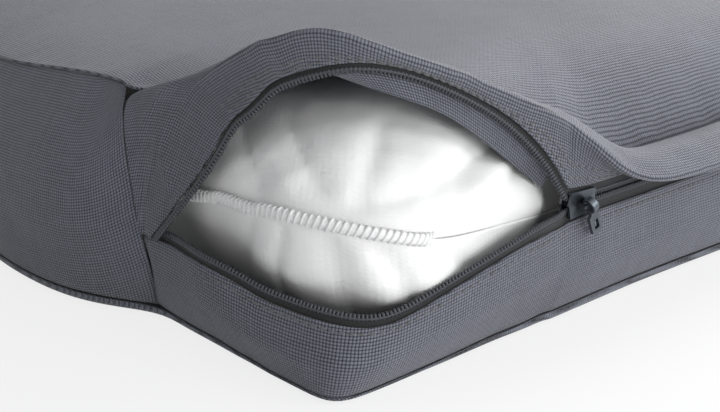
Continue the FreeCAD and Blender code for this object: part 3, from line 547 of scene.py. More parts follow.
# materials
class Nodes:
    # a short way to write a shader tree
    def __init__(self, name):
        self.material = bpy.data.materials.new(name)
        self.material.use_nodes = True
        self.tree = self.material.node_tree
        self.tree.nodes.clear()
        self.output = self.tree.nodes.new("ShaderNodeOutputMaterial")
        self.shader = self.tree.nodes.new("ShaderNodeBsdfPrincipled")
        self.tree.links.new(self.shader.outputs[0], self.output.inputs[0])

    def add(self, kind, inputs=None, **settings):
        node = self.tree.nodes.new(kind)
        for key, value in settings.items():
            setattr(node, key, value)
        for key, value in (inputs or {}).items():
            self.put(node.inputs[key], value)
        return node

    def put(self, socket, value):
        if isinstance(value, bpy.types.NodeSocket):
            self.tree.links.new(value, socket)
        else:
            socket.default_value = value

    def math(self, operation, *values):
        node = self.tree.nodes.new("ShaderNodeMath")
        node.operation = operation
        for socket, value in zip(node.inputs, values):
            self.put(socket, value)
        return node.outputs[0]

    def blend(self, share, a, b):
        node = self.add("ShaderNodeMix", data_type="RGBA")
        self.put(node.inputs[0], share)
        self.put(node.inputs[6], a)
        self.put(node.inputs[7], b)
        return node.outputs[2]

    def noise(self, vector, scale, detail=3.0, roughness=0.5):
        node = self.add("ShaderNodeTexNoise", {"Vector": vector, "Scale": scale, "Detail": detail,
                                               "Roughness": roughness})
        return node.outputs[0]

    def finish(self, **values):
        for key, value in values.items():
            self.put(self.shader.inputs[key.replace("_", " ")], value)
        return self.material


def grey(value, tint=0.0):
    return (value * (1 - tint * 0.3), value, value * (1 + tint), 1.0)


weave = {
    "pitch": 1.05,          # distance between threads, in millimetres
    # dark is the painted shade down in the gaps between threads, light the threads' crowns
    "dark": 0.014,
    "light": 0.203,
    "tint": 0.20,
    "bump": 1.0,
    "mottle": 0.12,
}


def wovenMaterial(name, values, coordinates="UVMap"):
    tree = Nodes(name)
    uv = tree.add("ShaderNodeUVMap", uv_map=coordinates).outputs[0]
    place = tree.add("ShaderNodeMapping", {"Vector": uv, "Scale": (1000 / values["pitch"],) * 3}).outputs[0]
    # threads wander a little
    wander = tree.add("ShaderNodeTexNoise", {"Vector": place, "Scale": 0.09, "Detail": 2.0})
    shifted = tree.add("ShaderNodeVectorMath", {0: wander.outputs[1], 1: (0.9, 0.9, 0)}, operation="MULTIPLY")
    place = tree.add("ShaderNodeVectorMath", {0: place, 1: shifted.outputs[0]}).outputs[0]
    parts = tree.add("ShaderNodeSeparateXYZ", {0: place})
    u, v = parts.outputs[0], parts.outputs[1]
    column, row = tree.math("FLOOR", u), tree.math("FLOOR", v)
    parity = tree.math("MODULO", tree.math("ABSOLUTE", tree.math("ADD", column, row)), 2.0)
    warp = tree.math("ABSOLUTE", tree.math("SINE", tree.math("MULTIPLY", u, math.pi)))
    weft = tree.math("ABSOLUTE", tree.math("SINE", tree.math("MULTIPLY", v, math.pi)))
    warpUp = tree.math("MULTIPLY", tree.math("POWER", warp, 0.6),
                       tree.math("ADD", 0.45, tree.math("MULTIPLY", weft, 0.55)))
    weftUp = tree.math("MULTIPLY", tree.math("POWER", weft, 0.6),
                       tree.math("ADD", 0.45, tree.math("MULTIPLY", warp, 0.55)))
    height = tree.math("ADD", tree.math("MULTIPLY", warpUp, parity),
                       tree.math("MULTIPLY", weftUp, tree.math("SUBTRACT", 1.0, parity)))
    # each thread has its own shade
    warpKey = tree.add("ShaderNodeCombineXYZ", {
        0: column, 1: tree.math("FLOOR", tree.math("MULTIPLY", v, 0.13))})
    weftKey = tree.add("ShaderNodeCombineXYZ", {
        0: row, 1: tree.math("FLOOR", tree.math("MULTIPLY", u, 0.11)), 2: 7.0})
    warpShade = tree.add("ShaderNodeTexWhiteNoise", {0: warpKey.outputs[0]}).outputs[0]
    weftShade = tree.add("ShaderNodeTexWhiteNoise", {0: weftKey.outputs[0]}).outputs[0]
    shade = tree.math("ADD", tree.math("MULTIPLY", warpShade, parity),
                      tree.math("MULTIPLY", weftShade, tree.math("SUBTRACT", 1.0, parity)))
    speck = tree.noise(place, 1.7, 2.0)
    # the colour follows the threads' height: crowns lighter and gaps darker, which is painted shade between
    # threads; the per-thread tone, specks and mottle are the cloth's own
    threadToneAndShade = tree.math("ADD", tree.math("MULTIPLY", height, 0.88),
                     tree.math("ADD", tree.math("MULTIPLY", shade, 0.1), tree.math("MULTIPLY", speck, 0.18)))
    clouds = tree.noise(uv, 14.0, 3.0)
    cloudy = tree.math("MULTIPLY", tree.math("SUBTRACT", clouds, 0.5), values["mottle"] * 2)
    threadToneAndShade = tree.math("ADD", threadToneAndShade, cloudy)
    share = tree.add("ShaderNodeMapRange", {0: threadToneAndShade, 1: 0.32, 2: 0.95, 3: 0.0, 4: 1.0}).outputs[0]
    colour = tree.blend(share, grey(values["dark"], values["tint"]), grey(values["light"], values["tint"]))
    bump = tree.add("ShaderNodeBump", {"Height": height, "Strength": values["bump"], "Distance": 0.00022})
    fuzz = tree.noise(place, 3.1, 4.0)
    bump2 = tree.add("ShaderNodeBump", {"Height": fuzz, "Strength": 0.25, "Distance": 0.00012,
                                        "Normal": bump.outputs[0]})
    rough = tree.math("ADD", 0.62, tree.math("MULTIPLY", speck, 0.16))
    return tree.finish(Base_Color=colour, Roughness=rough, Normal=bump2.outputs[0], Sheen_Weight=0.22,
                       Sheen_Roughness=0.5, Specular_IOR_Level=0.2)


linerLook = {
    "colour": 0.93,
    "shade": 0.84,
    "dimple": 1.6,          # millimetres between the embossed dots
}


def linerMaterial():
    # spunbonded white cloth with fine fibres and a faint embossed grid
    tree = Nodes("liner_cloth")
    uv = tree.add("ShaderNodeUVMap", uv_map="UVMap").outputs[0]
    place = tree.add("ShaderNodeMapping", {"Vector": uv, "Scale": (1000 / linerLook["dimple"],) * 3}).outputs[0]
    parts = tree.add("ShaderNodeSeparateXYZ", {0: place})
    a = tree.math("SINE", tree.math("MULTIPLY", parts.outputs[0], math.pi))
    b = tree.math("SINE", tree.math("MULTIPLY", parts.outputs[1], math.pi))
    dots = tree.math("POWER", tree.math("ABSOLUTE", tree.math("MULTIPLY", a, b)), 2.0)
    fibres = tree.add("ShaderNodeTexNoise", {"Vector": place, "Scale": 1.1, "Detail": 6.0, "Roughness": 0.75,
                                             "Distortion": 1.5}).outputs[0]
    crinkle = tree.noise(uv, 90.0, 5.0, 0.6)
    bump = tree.add("ShaderNodeBump", {"Height": dots, "Strength": 0.16, "Distance": 0.0003})
    bump2 = tree.add("ShaderNodeBump", {"Height": fibres, "Strength": 0.25, "Distance": 0.0002,
                                        "Normal": bump.outputs[0]})
    bump3 = tree.add("ShaderNodeBump", {"Height": crinkle, "Strength": 0.35, "Distance": 0.0016,
                                        "Normal": bump2.outputs[0]})
    low, high = linerLook["shade"], linerLook["colour"]
    share = tree.math("ADD", tree.math("MULTIPLY", fibres, 0.5), tree.math("MULTIPLY", crinkle, 0.5))
    colour = tree.blend(share,
                        (low, low * 1.005, low * 0.99, 1), (high, high, high * 0.985, 1))
    return tree.finish(Base_Color=colour, Roughness=0.62, Normal=bump3.outputs[0], Subsurface_Weight=0.25,
                       Subsurface_Radius=(0.004, 0.004, 0.004), Sheen_Weight=0.1, Specular_IOR_Level=0.3)


def tapeMaterial():
    values = dict(weave, pitch=0.45, dark=0.012, light=0.035, tint=0.06, bump=0.5, mottle=0.03)
    return wovenMaterial("zip_tape_cloth", values)


def threadMaterial(name, value, tint=0.0, twist=2600.0):
    tree = Nodes(name)
    place = tree.add("ShaderNodeTexCoord").outputs[3]
    strands = tree.add("ShaderNodeTexWave", {"Vector": place, "Scale": twist, "Distortion": 2.0}).outputs[1]
    grain = tree.noise(place, 3500.0)
    colour = tree.blend(grain, grey(value * 0.7, tint), grey(value, tint))
    bump = tree.add("ShaderNodeBump", {"Height": strands, "Strength": 0.3, "Distance": 0.0001})
    return tree.finish(Base_Color=colour, Roughness=0.6, Normal=bump.outputs[0], Sheen_Weight=0.3)


def coilMaterial():
    tree = Nodes("zip_coil_nylon")
    place = tree.add("ShaderNodeTexCoord").outputs[3]
    grain = tree.noise(place, 900.0)
    colour = tree.blend(grain, (0.02, 0.023, 0.03, 1), (0.055, 0.06, 0.072, 1))
    rough = tree.math("ADD", 0.34, tree.math("MULTIPLY", grain, 0.25))
    return tree.finish(Base_Color=colour, Roughness=rough, Specular_IOR_Level=0.5)


def gunmetalMaterial():
    tree = Nodes("slider_gunmetal")
    place = tree.add("ShaderNodeTexCoord").outputs[3]
    geometry = tree.add("ShaderNodeNewGeometry")
    # lighter colour on the sharp edges, taken from the mesh's pointiness
    sharpEdgeShare = tree.add("ShaderNodeMapRange", {0: geometry.outputs[7], 1: 0.5, 2: 0.62, 3: 0.0, 4: 1.0}).outputs[0]
    grain = tree.noise(place, 1500.0, 4.0)
    colour = tree.blend(tree.math("MULTIPLY", sharpEdgeShare, 0.7), (0.028, 0.036, 0.045, 1), (0.16, 0.18, 0.2, 1))
    bump = tree.add("ShaderNodeBump", {"Height": grain, "Strength": 0.12, "Distance": 0.0002})
    rough = tree.math("ADD", 0.24, tree.math("MULTIPLY", grain, 0.22))
    return tree.finish(Base_Color=colour, Metallic=0.85, Roughness=rough, Normal=bump.outputs[0])


coverCloth = wovenMaterial("cover_weave", weave)
linerCloth = linerMaterial()
tapeCloth = tapeMaterial()
coverThread = threadMaterial("cover_thread", 0.11, 0.05)
linerThread = threadMaterial("liner_thread", 0.92)
coilNylon = coilMaterial()
gunmetal = gunmetalMaterial()
foamLook = Nodes("foam").finish(Base_Color=(0.8, 0.76, 0.62, 1), Roughness=0.9)
print("materials")


# repeats along a seam, by Geometry Nodes
def repeatTree():
    tree = bpy.data.node_groups.new("repeat_along", "GeometryNodeTree")
    face = tree.interface
    face.new_socket("Geometry", in_out="INPUT", socket_type="NodeSocketGeometry")
    face.new_socket("Template", in_out="INPUT", socket_type="NodeSocketObject")
    face.new_socket("Material", in_out="INPUT", socket_type="NodeSocketMaterial")
    face.new_socket("Unevenness", in_out="INPUT", socket_type="NodeSocketFloat")
    face.new_socket("Seed", in_out="INPUT", socket_type="NodeSocketInt")
    face.new_socket("Geometry", in_out="OUTPUT", socket_type="NodeSocketGeometry")
    nodes, links = tree.nodes, tree.links
    source = nodes.new("NodeGroupInput")
    target = nodes.new("NodeGroupOutput")
    info = nodes.new("GeometryNodeObjectInfo")
    links.new(source.outputs["Template"], info.inputs[0])
    tangent = nodes.new("GeometryNodeInputNamedAttribute")
    tangent.data_type = "FLOAT_VECTOR"
    tangent.inputs[0].default_value = "tangent"
    lead = nodes.new("GeometryNodeInputNamedAttribute")
    lead.data_type = "FLOAT_VECTOR"
    lead.inputs[0].default_value = "lead"
    first = nodes.new("FunctionNodeAlignRotationToVector")
    first.axis = "X"
    links.new(tangent.outputs[0], first.inputs["Vector"])
    second = nodes.new("FunctionNodeAlignRotationToVector")
    second.axis = "Y"
    second.pivot_axis = "X"
    links.new(first.outputs[0], second.inputs["Rotation"])
    links.new(lead.outputs[0], second.inputs["Vector"])
    random = nodes.new("FunctionNodeRandomValue")
    random.data_type = "FLOAT"
    low = nodes.new("ShaderNodeMath")
    low.operation = "SUBTRACT"
    low.inputs[0].default_value = 1.0
    links.new(source.outputs["Unevenness"], low.inputs[1])
    links.new(low.outputs[0], random.inputs[2])
    random.inputs[3].default_value = 1.0
    links.new(source.outputs["Seed"], random.inputs["Seed"])
    place = nodes.new("GeometryNodeInstanceOnPoints")
    links.new(source.outputs["Geometry"], place.inputs["Points"])
    links.new(info.outputs["Geometry"], place.inputs["Instance"])
    links.new(second.outputs[0], place.inputs["Rotation"])
    links.new(random.outputs[1], place.inputs["Scale"])
    real = nodes.new("GeometryNodeRealizeInstances")
    links.new(place.outputs[0], real.inputs[0])
    paint = nodes.new("GeometryNodeSetMaterial")
    links.new(real.outputs[0], paint.inputs["Geometry"])
    links.new(source.outputs["Material"], paint.inputs["Material"])
    links.new(paint.outputs[0], target.inputs[0])
    return tree


repeats = repeatTree()


def repeatAlong(name, points, tangents, leads, template, material, unevenness=0.1, seed=1):
    # copies of template at the points: its X along the tangent, its Y along the lead
    mesh = bpy.data.meshes.new(name)
    mesh.from_pydata((np.asarray(points) * mm).tolist(), [], [])
    for label, values in (("tangent", tangents), ("lead", leads)):
        attribute = mesh.attributes.new(label, "FLOAT_VECTOR", "POINT")
        attribute.data.foreach_set("vector", np.asarray(values, float).reshape(-1))
    obj = bpy.data.objects.new(name, mesh)
    bpy.context.scene.collection.objects.link(obj)
    modifier = obj.modifiers.new("repeat", "NODES")
    modifier.node_group = repeats
    wanted = {"Template": template, "Material": material, "Unevenness": unevenness, "Seed": seed}
    for item in repeats.interface.items_tree:
        if item.in_out == "INPUT" and item.name in wanted:
            modifier[item.identifier] = wanted[item.name]
    applyModifiers(obj)
    for label in ("tangent", "lead"):
        extra = obj.data.attributes.get(label)
        if extra:
            obj.data.attributes.remove(extra)
    return obj


def capsule(name, length, width, height, rings=5, around=8):
    # a small rounded rod along Y, used as a template and removed at the end
    mesh = bpy.data.meshes.new(name)
    tool = bmesh.new()
    bmesh.ops.create_uvsphere(tool, u_segments=around, v_segments=rings + 1, radius=1.0)
    for vertex in tool.verts:
        x, y, z = vertex.co
        side = 1 if z > 0.01 else (-1 if z < -0.01 else 0)
        reach = (length / 2 - width / 2)
        vertex.co = Vector((x * width / 2, z * width / 2 + side * reach, y * height / 2)) * mm
    tool.to_mesh(mesh)
    tool.free()
    mesh.polygons.foreach_set("use_smooth", [True] * len(mesh.polygons))
    obj = bpy.data.objects.new(name, mesh)
    bpy.context.scene.collection.objects.link(obj)
    return obj


def walk(path, pitch):
    # evenly spaced places along a dense path: their indices as fractions
    steps = np.linalg.norm(np.diff(path, axis=0), axis=1)
    total = np.concatenate(([0.0], np.cumsum(steps)))
    count = max(2, int(total[-1] / pitch))
    wanted = (np.arange(count) + 0.5) * total[-1] / count
    return np.interp(wanted, total, np.arange(len(path)))


def take(values, places):
    index = np.clip(np.floor(places).astype(int), 0, len(values) - 2)
    f = (places - index)[:, None]
    return values[index] * (1 - f) + values[index + 1] * f


# cover: top panel
def creased(along, height, folds):
    # each fold is a line from one place to another, both as (along the seam from the corner, height)
    total = along * 0
    for start, end, width, depth in folds:
        a, b = np.array(start, float), np.array(end, float)
        run = b - a
        share = ((along - a[0]) * run[0] + (height - a[1]) * run[1]) / run.dot(run)
        share = np.clip(share, 0, 1)
        apart = np.hypot(along - a[0] - share * run[0], height - a[1] - share * run[1])
        total = total + depth * np.exp(-apart / width) * (0.35 + 0.65 * np.sin(np.pi * (0.15 + 0.7 * share)))
    return total


def domeRings(rim, level, steps):
    # rings that shrink towards the middle and rise or fall to a level
    rings = []
    for inset, rise in steps:
        flat = rim * vec(1, 1, 0) * (1 - inset)
        lifted = rim[:, 2:3] + (level - rim[:, 2:3]) * rise
        rings.append(np.concatenate((flat[:, :2], lifted), axis=1))
    return rings


def clothPlaces(grid):
    # distance along the strip, and share across it
    steps = np.linalg.norm(np.diff(grid, axis=0), axis=2).mean(axis=1)
    along = np.concatenate(([0.0], np.cumsum(steps)))[:, None] + grid[:, :, 2] * 0
    return along, np.linspace(0, 1, grid.shape[1])[None, :]


def heightsOf(grid):
    steps = np.linalg.norm(np.diff(grid, axis=1), axis=2)
    return np.concatenate((np.zeros((len(grid), 1)), np.cumsum(steps, axis=1)), axis=1)


topPanel = {
    "columns": 90,
    "rings": [(0.0, 0.0), (0.06, 0.42), (0.14, 0.74), (0.27, 0.94), (0.42, 1.0), (0.55, 1.0),
              (0.75, 1.0), (0.9995, 1.0)],
    "seamPucker": 0.7,
}


def makeTopPanel():
    v = topPanel
    rim = ringFine["top"] + up * (cloth["seamGap"] / 2 + cloth["cover"] / 2)
    nets = domeRings(rim, outline["crown"] - cloth["cover"] / 2, v["rings"])
    weights = openWeights(np.linspace(0, 1, v["columns"]) ** 1.35, spacing(nets))
    grid = np.einsum("cr,rpk->pck", weights, np.array(nets))
    normal = normalsOf(grid, True)
    distance = np.linalg.norm(grid - grid[:, :1], axis=2)
    steps = np.linalg.norm(np.roll(rim, -1, 0) - rim, axis=1)
    along = np.concatenate(([0.0], np.cumsum(steps)[:-1]))
    pucker = noise1(along / 13.0, 3)[:, None] * np.exp(-distance / 9.0) * ease(distance, 0.0, 4.0)
    broad = noise2(grid[:, :, 0] / 90.0 + 20, grid[:, :, 1] / 90.0 + 20, 5) * 1.2 * ease(distance, 0, 60)
    grid = grid + normal * (pucker * v["seamPucker"] + broad)[:, :, None]
    piece = addGrid("coverTop", grid, closedRows=True, thickness=cloth["cover"])
    flatUv(piece, 0, 1)
    return finishPiece(piece, "pad", coverCloth, ["cover_top_panel"])


def flatUv(obj, a, b):
    # lay the weave square to the pad
    mesh = obj.data
    co = np.zeros(len(mesh.vertices) * 3)
    mesh.vertices.foreach_get("co", co)
    co = co.reshape(-1, 3)
    vertex = np.zeros(len(mesh.loops), int)
    mesh.loops.foreach_get("vertex_index", vertex)
    mesh.uv_layers["UVMap"].data.foreach_set("uv", co[vertex][:, (a, b)].reshape(-1))


# cover: bottom panel
bottomPanel = {
    "columns": 60,
    "rings": [(0.0, 0.0), (0.0, 0.55), (0.012, 0.93), (0.045, 1.0), (0.12, 1.0), (0.5, 1.0), (0.9995, 1.0)],
}


def makeBottomPanel():
    rim = ringFine["bottom"] - up * (cloth["seamGap"] / 2 + cloth["cover"] / 2)
    nets = domeRings(rim, cloth["cover"] / 2, bottomPanel["rings"])
    weights = openWeights(np.linspace(0, 1, bottomPanel["columns"]) ** 1.6, spacing(nets))
    grid = np.einsum("cr,rpk->pck", weights, np.array(nets))
    piece = addGrid("coverBottom", grid, closedRows=True, thickness=cloth["cover"], flip=True)
    flatUv(piece, 0, 1)
    return finishPiece(piece, "pad", coverCloth, ["cover_bottom_panel"])


# cover: plain side strip
def makeSideStrip():
    rows = [[p + vec(0, cloth["seamGap"], 0) for p in sideSection(front[-1])]]
    rows += [sideSection(row) for row in side]
    rows.append([frontLeft + vec(*p) + vec(cloth["cover"] / 2, cloth["seamGap"], 0) for p in leftEndSeam])
    grid = surface(rows, sidePlaces, 500, 56)
    normal = normalsOf(grid)
    z = grid[:, :, 2]
    along, share = clothPlaces(grid)
    edge = np.minimum(share, 1 - share) * 90.0
    pucker = noise1(along / 11.0, 8) * np.exp(-edge / 7.0) * ease(edge, 0.0, 3.0) * 0.9
    broad = noise2(along / 70.0 + 9, z / 60.0 + 9, 11) * 2.0 * ease(edge, 0, 20)
    grid = grid + normal * (pucker + broad)[:, :, None]
    piece = addGrid("coverSide", grid, thickness=cloth["cover"])
    return finishPiece(piece, "pad", coverCloth, ["cover_side_strip"])


# cover: strip below the zip
def makeLowerStrip():
    grid = surface([lowerSection(row) for row in front], frontPlaces, 340, 36)
    normal = normalsOf(grid)
    along, share = clothPlaces(grid)
    broad = noise2(along / 55.0 + 3, share * 1.2 + 3, 14) * 1.6 * np.sin(np.pi * share)
    pucker = noise1(along / 9.0, 15) * np.exp(-share * 9.0) * ease(share, 0, 0.1) * 0.7
    grid = grid + normal * (broad + pucker)[:, :, None]
    piece = addGrid("lowerStrip", grid, thickness=cloth["cover"])
    return finishPiece(piece, "pad", coverCloth, ["zip_strip_lower"]), grid


# cover: the doubled flap
flapFolds = [
    ((-86, 30), (-52, 16), 3.0, 1.6), ((-80, 12), (-60, 26), 2.5, -1.2), ((-48, 8), (-30, 20), 3.0, 1.4),
    ((-14, 6), (6, 22), 3.5, 1.6), ((20, 20), (44, 6), 3.0, 1.2), ((56, 6), (74, 18), 3.0, 1.2),
]


def makeFlap():
    grid = surface([flapSection(row) for row in front], frontPlaces, 380, 80)
    normal = normalsOf(grid)
    along, share = clothPlaces(grid)
    broad = noise2(along / 34.0 + 3, share * 2.2 + 5, 21) * 1.3 * np.sin(np.pi * share)
    broad = broad + creased(along - seamPlaces[cornerRow], heightsOf(grid), flapFolds) * ease(share, 0.0, 0.2)
    grid = grid - normal * broad[:, :, None]
    piece = addGrid("flap", grid, thickness=cloth["cover"])
    return finishPiece(piece, "pad", coverCloth, ["zip_strip_upper"]), grid


def makeFacing():
    # the strip that hangs into the mouth behind the upper coil
    net = []
    behind = unit(vec(0.4, 0.85, 0.3)) * cloth["facingBehind"]
    for row, point in zip(front[cornerRow:], facingEdge):
        high = row["upper"] + behind
        low = frontLeft + vec(*point)
        net.append([mix(high, low, k / 3.0) for k in range(4)])
    places = frontPlaces[cornerRow:cornerRow + len(facingEdge)]
    piece = addGrid("facing", surface(net, places, 90, 14), thickness=cloth["cover"])
    return finishPiece(piece, "pad", coverCloth, ["seam_facing"])


# zip: coils, tapes and topstitching
zipLook = {
    "toothPitch": 1.25,
    "toothWidth": 1.12,
    "stitchPitch": 3.0,
    "stitchLength": 2.3,
}


def leadOf(rows, key):
    leads = []
    for row in rows:
        if key == "lower":
            down = toward(row["lower"], row["bottom"] + row["outward"] * 2)
            leads.append(unit(mix(down, -up, row["closed"])))
        else:
            leads.append(toward(row["upper"], tapeEdge(row)))
    return np.array(leads)


def alongFront(values, samples=900):
    weights = openWeights(np.linspace(0, 1, samples), frontPlaces)
    return weights @ np.array(values, float)


def makeCoil(name, key, node):
    path = alongFront([row[key] for row in front])
    lead = unit(alongFront(leadOf(front, key)))
    tangent = unit(np.gradient(path, axis=0))
    places = walk(path, zipLook["toothPitch"])
    template = capsule("toothTemplate", cloth["coilWidth"], zipLook["toothWidth"], cloth["coilDepth"] * 0.8)
    piece = repeatAlong(name, take(path, places), take(tangent, places), take(lead, places), template,
                        coilNylon, 0.04, 3)
    bpy.data.objects.remove(template)
    # the core cord the teeth are sewn over
    half = cloth["coilWidth"] / 2
    depth = np.cross(tangent, lead)
    core = []
    for turn in np.linspace(0, 2 * math.pi, 9):
        core.append(path + lead * (0.35 * half + math.cos(turn) * 0.5) + depth * (math.sin(turn) * 0.7))
    cord = addGrid(name + "_cord", np.stack(core, axis=1)[::3])
    cord.data.materials.append(coilNylon)
    joinInto(piece, [cord])
    return finishKeeping(piece, "pad", [node])


def joinInto(piece, others):
    for obj in bpy.context.selected_objects:
        obj.select_set(False)
    for obj in others + [piece]:
        obj.select_set(True)
    bpy.context.view_layer.objects.active = piece
    bpy.ops.object.join()


def finishKeeping(obj, body, nodes=()):
    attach(obj, body)
    if nodes:
        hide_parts(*nodes)
    return obj


def makeTape(name, key, node):
    start = cloth["coilWidth"] / 2 + cloth["coilGap"] / 2 - 0.6
    hidden = cloth["tapeHidden"]
    net = []
    sections = [flapSection(row) for row in front]
    inside = normalsOf(np.array(sections))
    cover = cloth["cover"] / 2 + cloth["layerGap"] + cloth["tape"] / 2 + cloth["tapeEase"]
    for row, lead, out in zip(front, leadOf(front, key), inside):
        first = row[key] + lead * start
        if key == "upper":
            lead = unit(mix(toward(first, tapeEdge(row) + out[-1] * cover), up, row["closed"]))
        second = first + lead * (tapeShown(row) + hidden - start)
        net.append([mix(first, second, k / 3.0) for k in range(4)])
    piece = addGrid(name, surface(net, frontPlaces, 340, 10), thickness=cloth["tape"])
    return finishPiece(piece, "pad", tapeCloth, [node])


def makeStitches(name, rows, lifts, node, material):
    # rows of sewn thread on the cloth: each row is a dense path with its lead and its lift
    template = capsule("stitchTemplate", 0.75, 0.75, 0.5)
    for vertex in template.data.vertices:
        vertex.co.x *= zipLook["stitchLength"] / 0.75
    parts = []
    for number, (path, lead, lift) in enumerate(rows):
        places = walk(path, zipLook["stitchPitch"])
        tangent = unit(np.gradient(path, axis=0))
        raised = path + lift * lifts
        parts.append(repeatAlong("%s_%d" % (name, number), take(raised, places), take(tangent, places),
                                 take(lead, places), template, material, 0.12, 11 + number))
    bpy.data.objects.remove(template)
    piece = parts[0]
    piece.name = name
    if len(parts) > 1:
        joinInto(piece, parts[1:])
    return finishKeeping(piece, "pad", [node])


def stitchPath(grid, column, first, last, side):
    # a line along the cloth grid, a little in from its edge
    path = grid[first:last, column]
    lead = unit(grid[first:last, column] - grid[first:last, column - 1])
    normal = normalsOf(grid)[first:last, column] * side
    return path, lead, normal


# liner

linerShape = {
    "clearance": 4.5,
    "columns": 92,
    "bulge": 5.0,
    "lowBulge": 5.0,
    "lowColumns": 90,
    "mouthMiddle": 6.0,
    "mouthReach": 55.0,
    "bulgeDepth": 20.0,
    "bulgeReach": 14.0,
    "rings": [(0.14, 0.74), (0.27, 0.94), (0.42, 1.0), (0.6, 1.0), (0.9995, 1.0)],
    "lowRings": [(0.0, 0.0), (0.02, 0.35), (0.055, 0.72), (0.11, 0.95), (0.16, 1.0), (0.4, 1.0), (0.9995, 1.0)],
    "folds": [
        ((78, 34), (6, 6), 4.5, 3.4), ((70, 22), (34, 7), 3.0, -2.2), ((0, 1), (-24, 34), 4.0, 2.6),
        ((4, 2), (14, 40), 4.0, 2.8), ((-34, 2), (-50, 36), 4.0, 2.2), ((38, 2), (50, 30), 3.0, 2.2),
        ((-12, 3), (-36, 20), 3.0, -1.6), ((58, 2), (80, 30), 3.0, 2.0), ((22, 3), (30, 24), 3.0, -1.8),
    ],
    "lowFolds": [
        ((-4, 1), (4, 46), 4.0, 3.0), ((10, 1), (26, 34), 3.5, 2.6), ((-20, 2), (-30, 40), 4.0, 2.2),
        ((34, 1), (56, 24), 3.0, 2.0), ((-42, 2), (-56, 30), 4.0, 1.8), ((3, 2), (12, 26), 2.5, -2.2),
    ],
}


def makeLiner():
    v = linerShape
    thick = cloth["liner"] / 2
    seam = ringFine["liner"]
    shoulder = ringFine["shoulder"]
    out = ringFine["outward"]
    rim = ringFine["top"] + up * (cloth["seamGap"] / 2 + cloth["cover"] - v["clearance"])
    rings = [seam, mix(seam, shoulder, 0.5) + out * v["bulge"], shoulder]
    rings += domeRings(rim, outline["crown"] - v["clearance"], v["rings"])
    weights = openWeights(np.linspace(0, 1, v["columns"]) ** 1.3, spacing(rings))
    grid = np.einsum("cr,rpk->pck", weights, np.array(rings))
    normal = normalsOf(grid, True)
    wide = noise2(grid[:, :, 0] / 26.0 + 20, grid[:, :, 1] / 26.0 + grid[:, :, 2] / 40.0 + 20, 31) * 2.6
    fold = np.linspace(0, 1, v["columns"])[None, :]
    wide = np.abs(wide) + creased(ringPlace[:, None] + grid[:, :, 0] * 0, heightsOf(grid), v["folds"])
    grid = grid - normal * (wide * ease(fold, 0.0, 0.08))[:, :, None]
    top = addGrid("linerTop", grid - normal * thick, closedRows=True, thickness=cloth["liner"])
    finishPiece(top, "pad", linerCloth, ["liner_top_panel"])
    floor = cloth["cover"] + cloth["layerGap"] + thick
    rings = domeRings(seam, floor, v["lowRings"])
    weights = openWeights(np.linspace(0, 1, v["lowColumns"]) ** 1.3, spacing(rings))
    grid = np.einsum("cr,rpk->pck", weights, np.array(rings))
    height = heightsOf(grid)
    along = ringPlace[:, None] + height * 0
    mouth = np.exp(-((along - v["mouthMiddle"]) / v["mouthReach"]) ** 4)
    full = v["lowBulge"] * mouth * np.exp(-((height - v["bulgeDepth"]) / v["bulgeReach"]) ** 2)
    out = ringFine["outward"][:, None, :]
    grid = grid + out * (full - creased(along, height, v["lowFolds"]) * ease(height, 0.0, 8.0))[:, :, None]
    low = addGrid("linerBottom", grid, closedRows=True, thickness=cloth["liner"], flip=True)
    finishPiece(low, "pad", linerCloth, ["liner_bottom_panel"])
    return top


overlock = {
    "pitch": 2.1,
    "width": 4.4,
    "height": 2.0,
    "thread": 1.45,
    "tuck": 3.6,            # how far the seam sinks into a fold beyond the middle of the mouth
    "tuckFrom": (24.0, 38.0),
    "tuckTo": (120.0, 140.0),
}


def makeOverlock():
    v = overlock
    tuck = v["tuck"] * ease(ringPlace, *v["tuckFrom"]) * (1 - ease(ringPlace, *v["tuckTo"]))
    path = ringFine["liner"] + ringFine["outward"] * (v["height"] * 0.5 + 0.4 - tuck)[:, None]
    path = np.concatenate((path, path[:1]))
    out = np.concatenate((ringFine["outward"], ringFine["outward"][:1]))
    tangent = unit(np.gradient(path, axis=0))
    lead = np.cross(out, tangent)
    ridge = []
    for turn in np.linspace(0, 2 * math.pi, 11):
        side = lead * (math.cos(turn) * v["width"] * 0.42)
        ridge.append(path + side + out * (math.sin(turn) * v["height"] * 0.42))
    body = addGrid("overlock", np.stack(ridge, axis=1))
    body.data.materials.append(linerCloth)
    template = capsule("overTemplate", v["width"] * 1.05, v["thread"], v["height"] * 1.3)
    for vertex in template.data.vertices:
        vertex.co.x += vertex.co.y * 0.35
    places = walk(path, v["pitch"])
    threads = repeatAlong("overlockThread", take(path, places), take(tangent, places), take(lead, places), template,
                          linerThread, 0.1, 5)
    bpy.data.objects.remove(template)
    joinInto(body, [threads])
    return finishKeeping(body, "pad", ["liner_overlock_seam"])


makeTopPanel()
makeBottomPanel()
makeSideStrip()
lowerGrid = makeLowerStrip()[1]
flapGrid = makeFlap()[1]
makeFacing()
print("cover")
makeCoil("coilLower", "lower", "zip_coil_lower")
makeCoil("coilUpper", "upper", "zip_coil_upper")
makeTape("tapeLower", "lower", "zip_tape_lower")
makeTape("tapeUpper", "upper", "zip_tape_upper")
stitching = {
    "lift": 0.1,            # millimetres above the cloth
    "flapColumns": (-4, -9),
    "flapSpan": (20, 260),
    "lipColumn": -3,
    "lipSpan": (12, 230),
}
lift = cloth["cover"] / 2 + stitching["lift"]
flapRows = [stitchPath(flapGrid, column, *stitching["flapSpan"], -1) for column in stitching["flapColumns"]]
lipRows = [stitchPath(lowerGrid, stitching["lipColumn"], *stitching["lipSpan"], 1)]
makeStitches("flapStitches", flapRows, lift, "flap_topstitching", coverThread)
makeStitches("lipStitches", lipRows, lift, "lip_topstitching", coverThread)
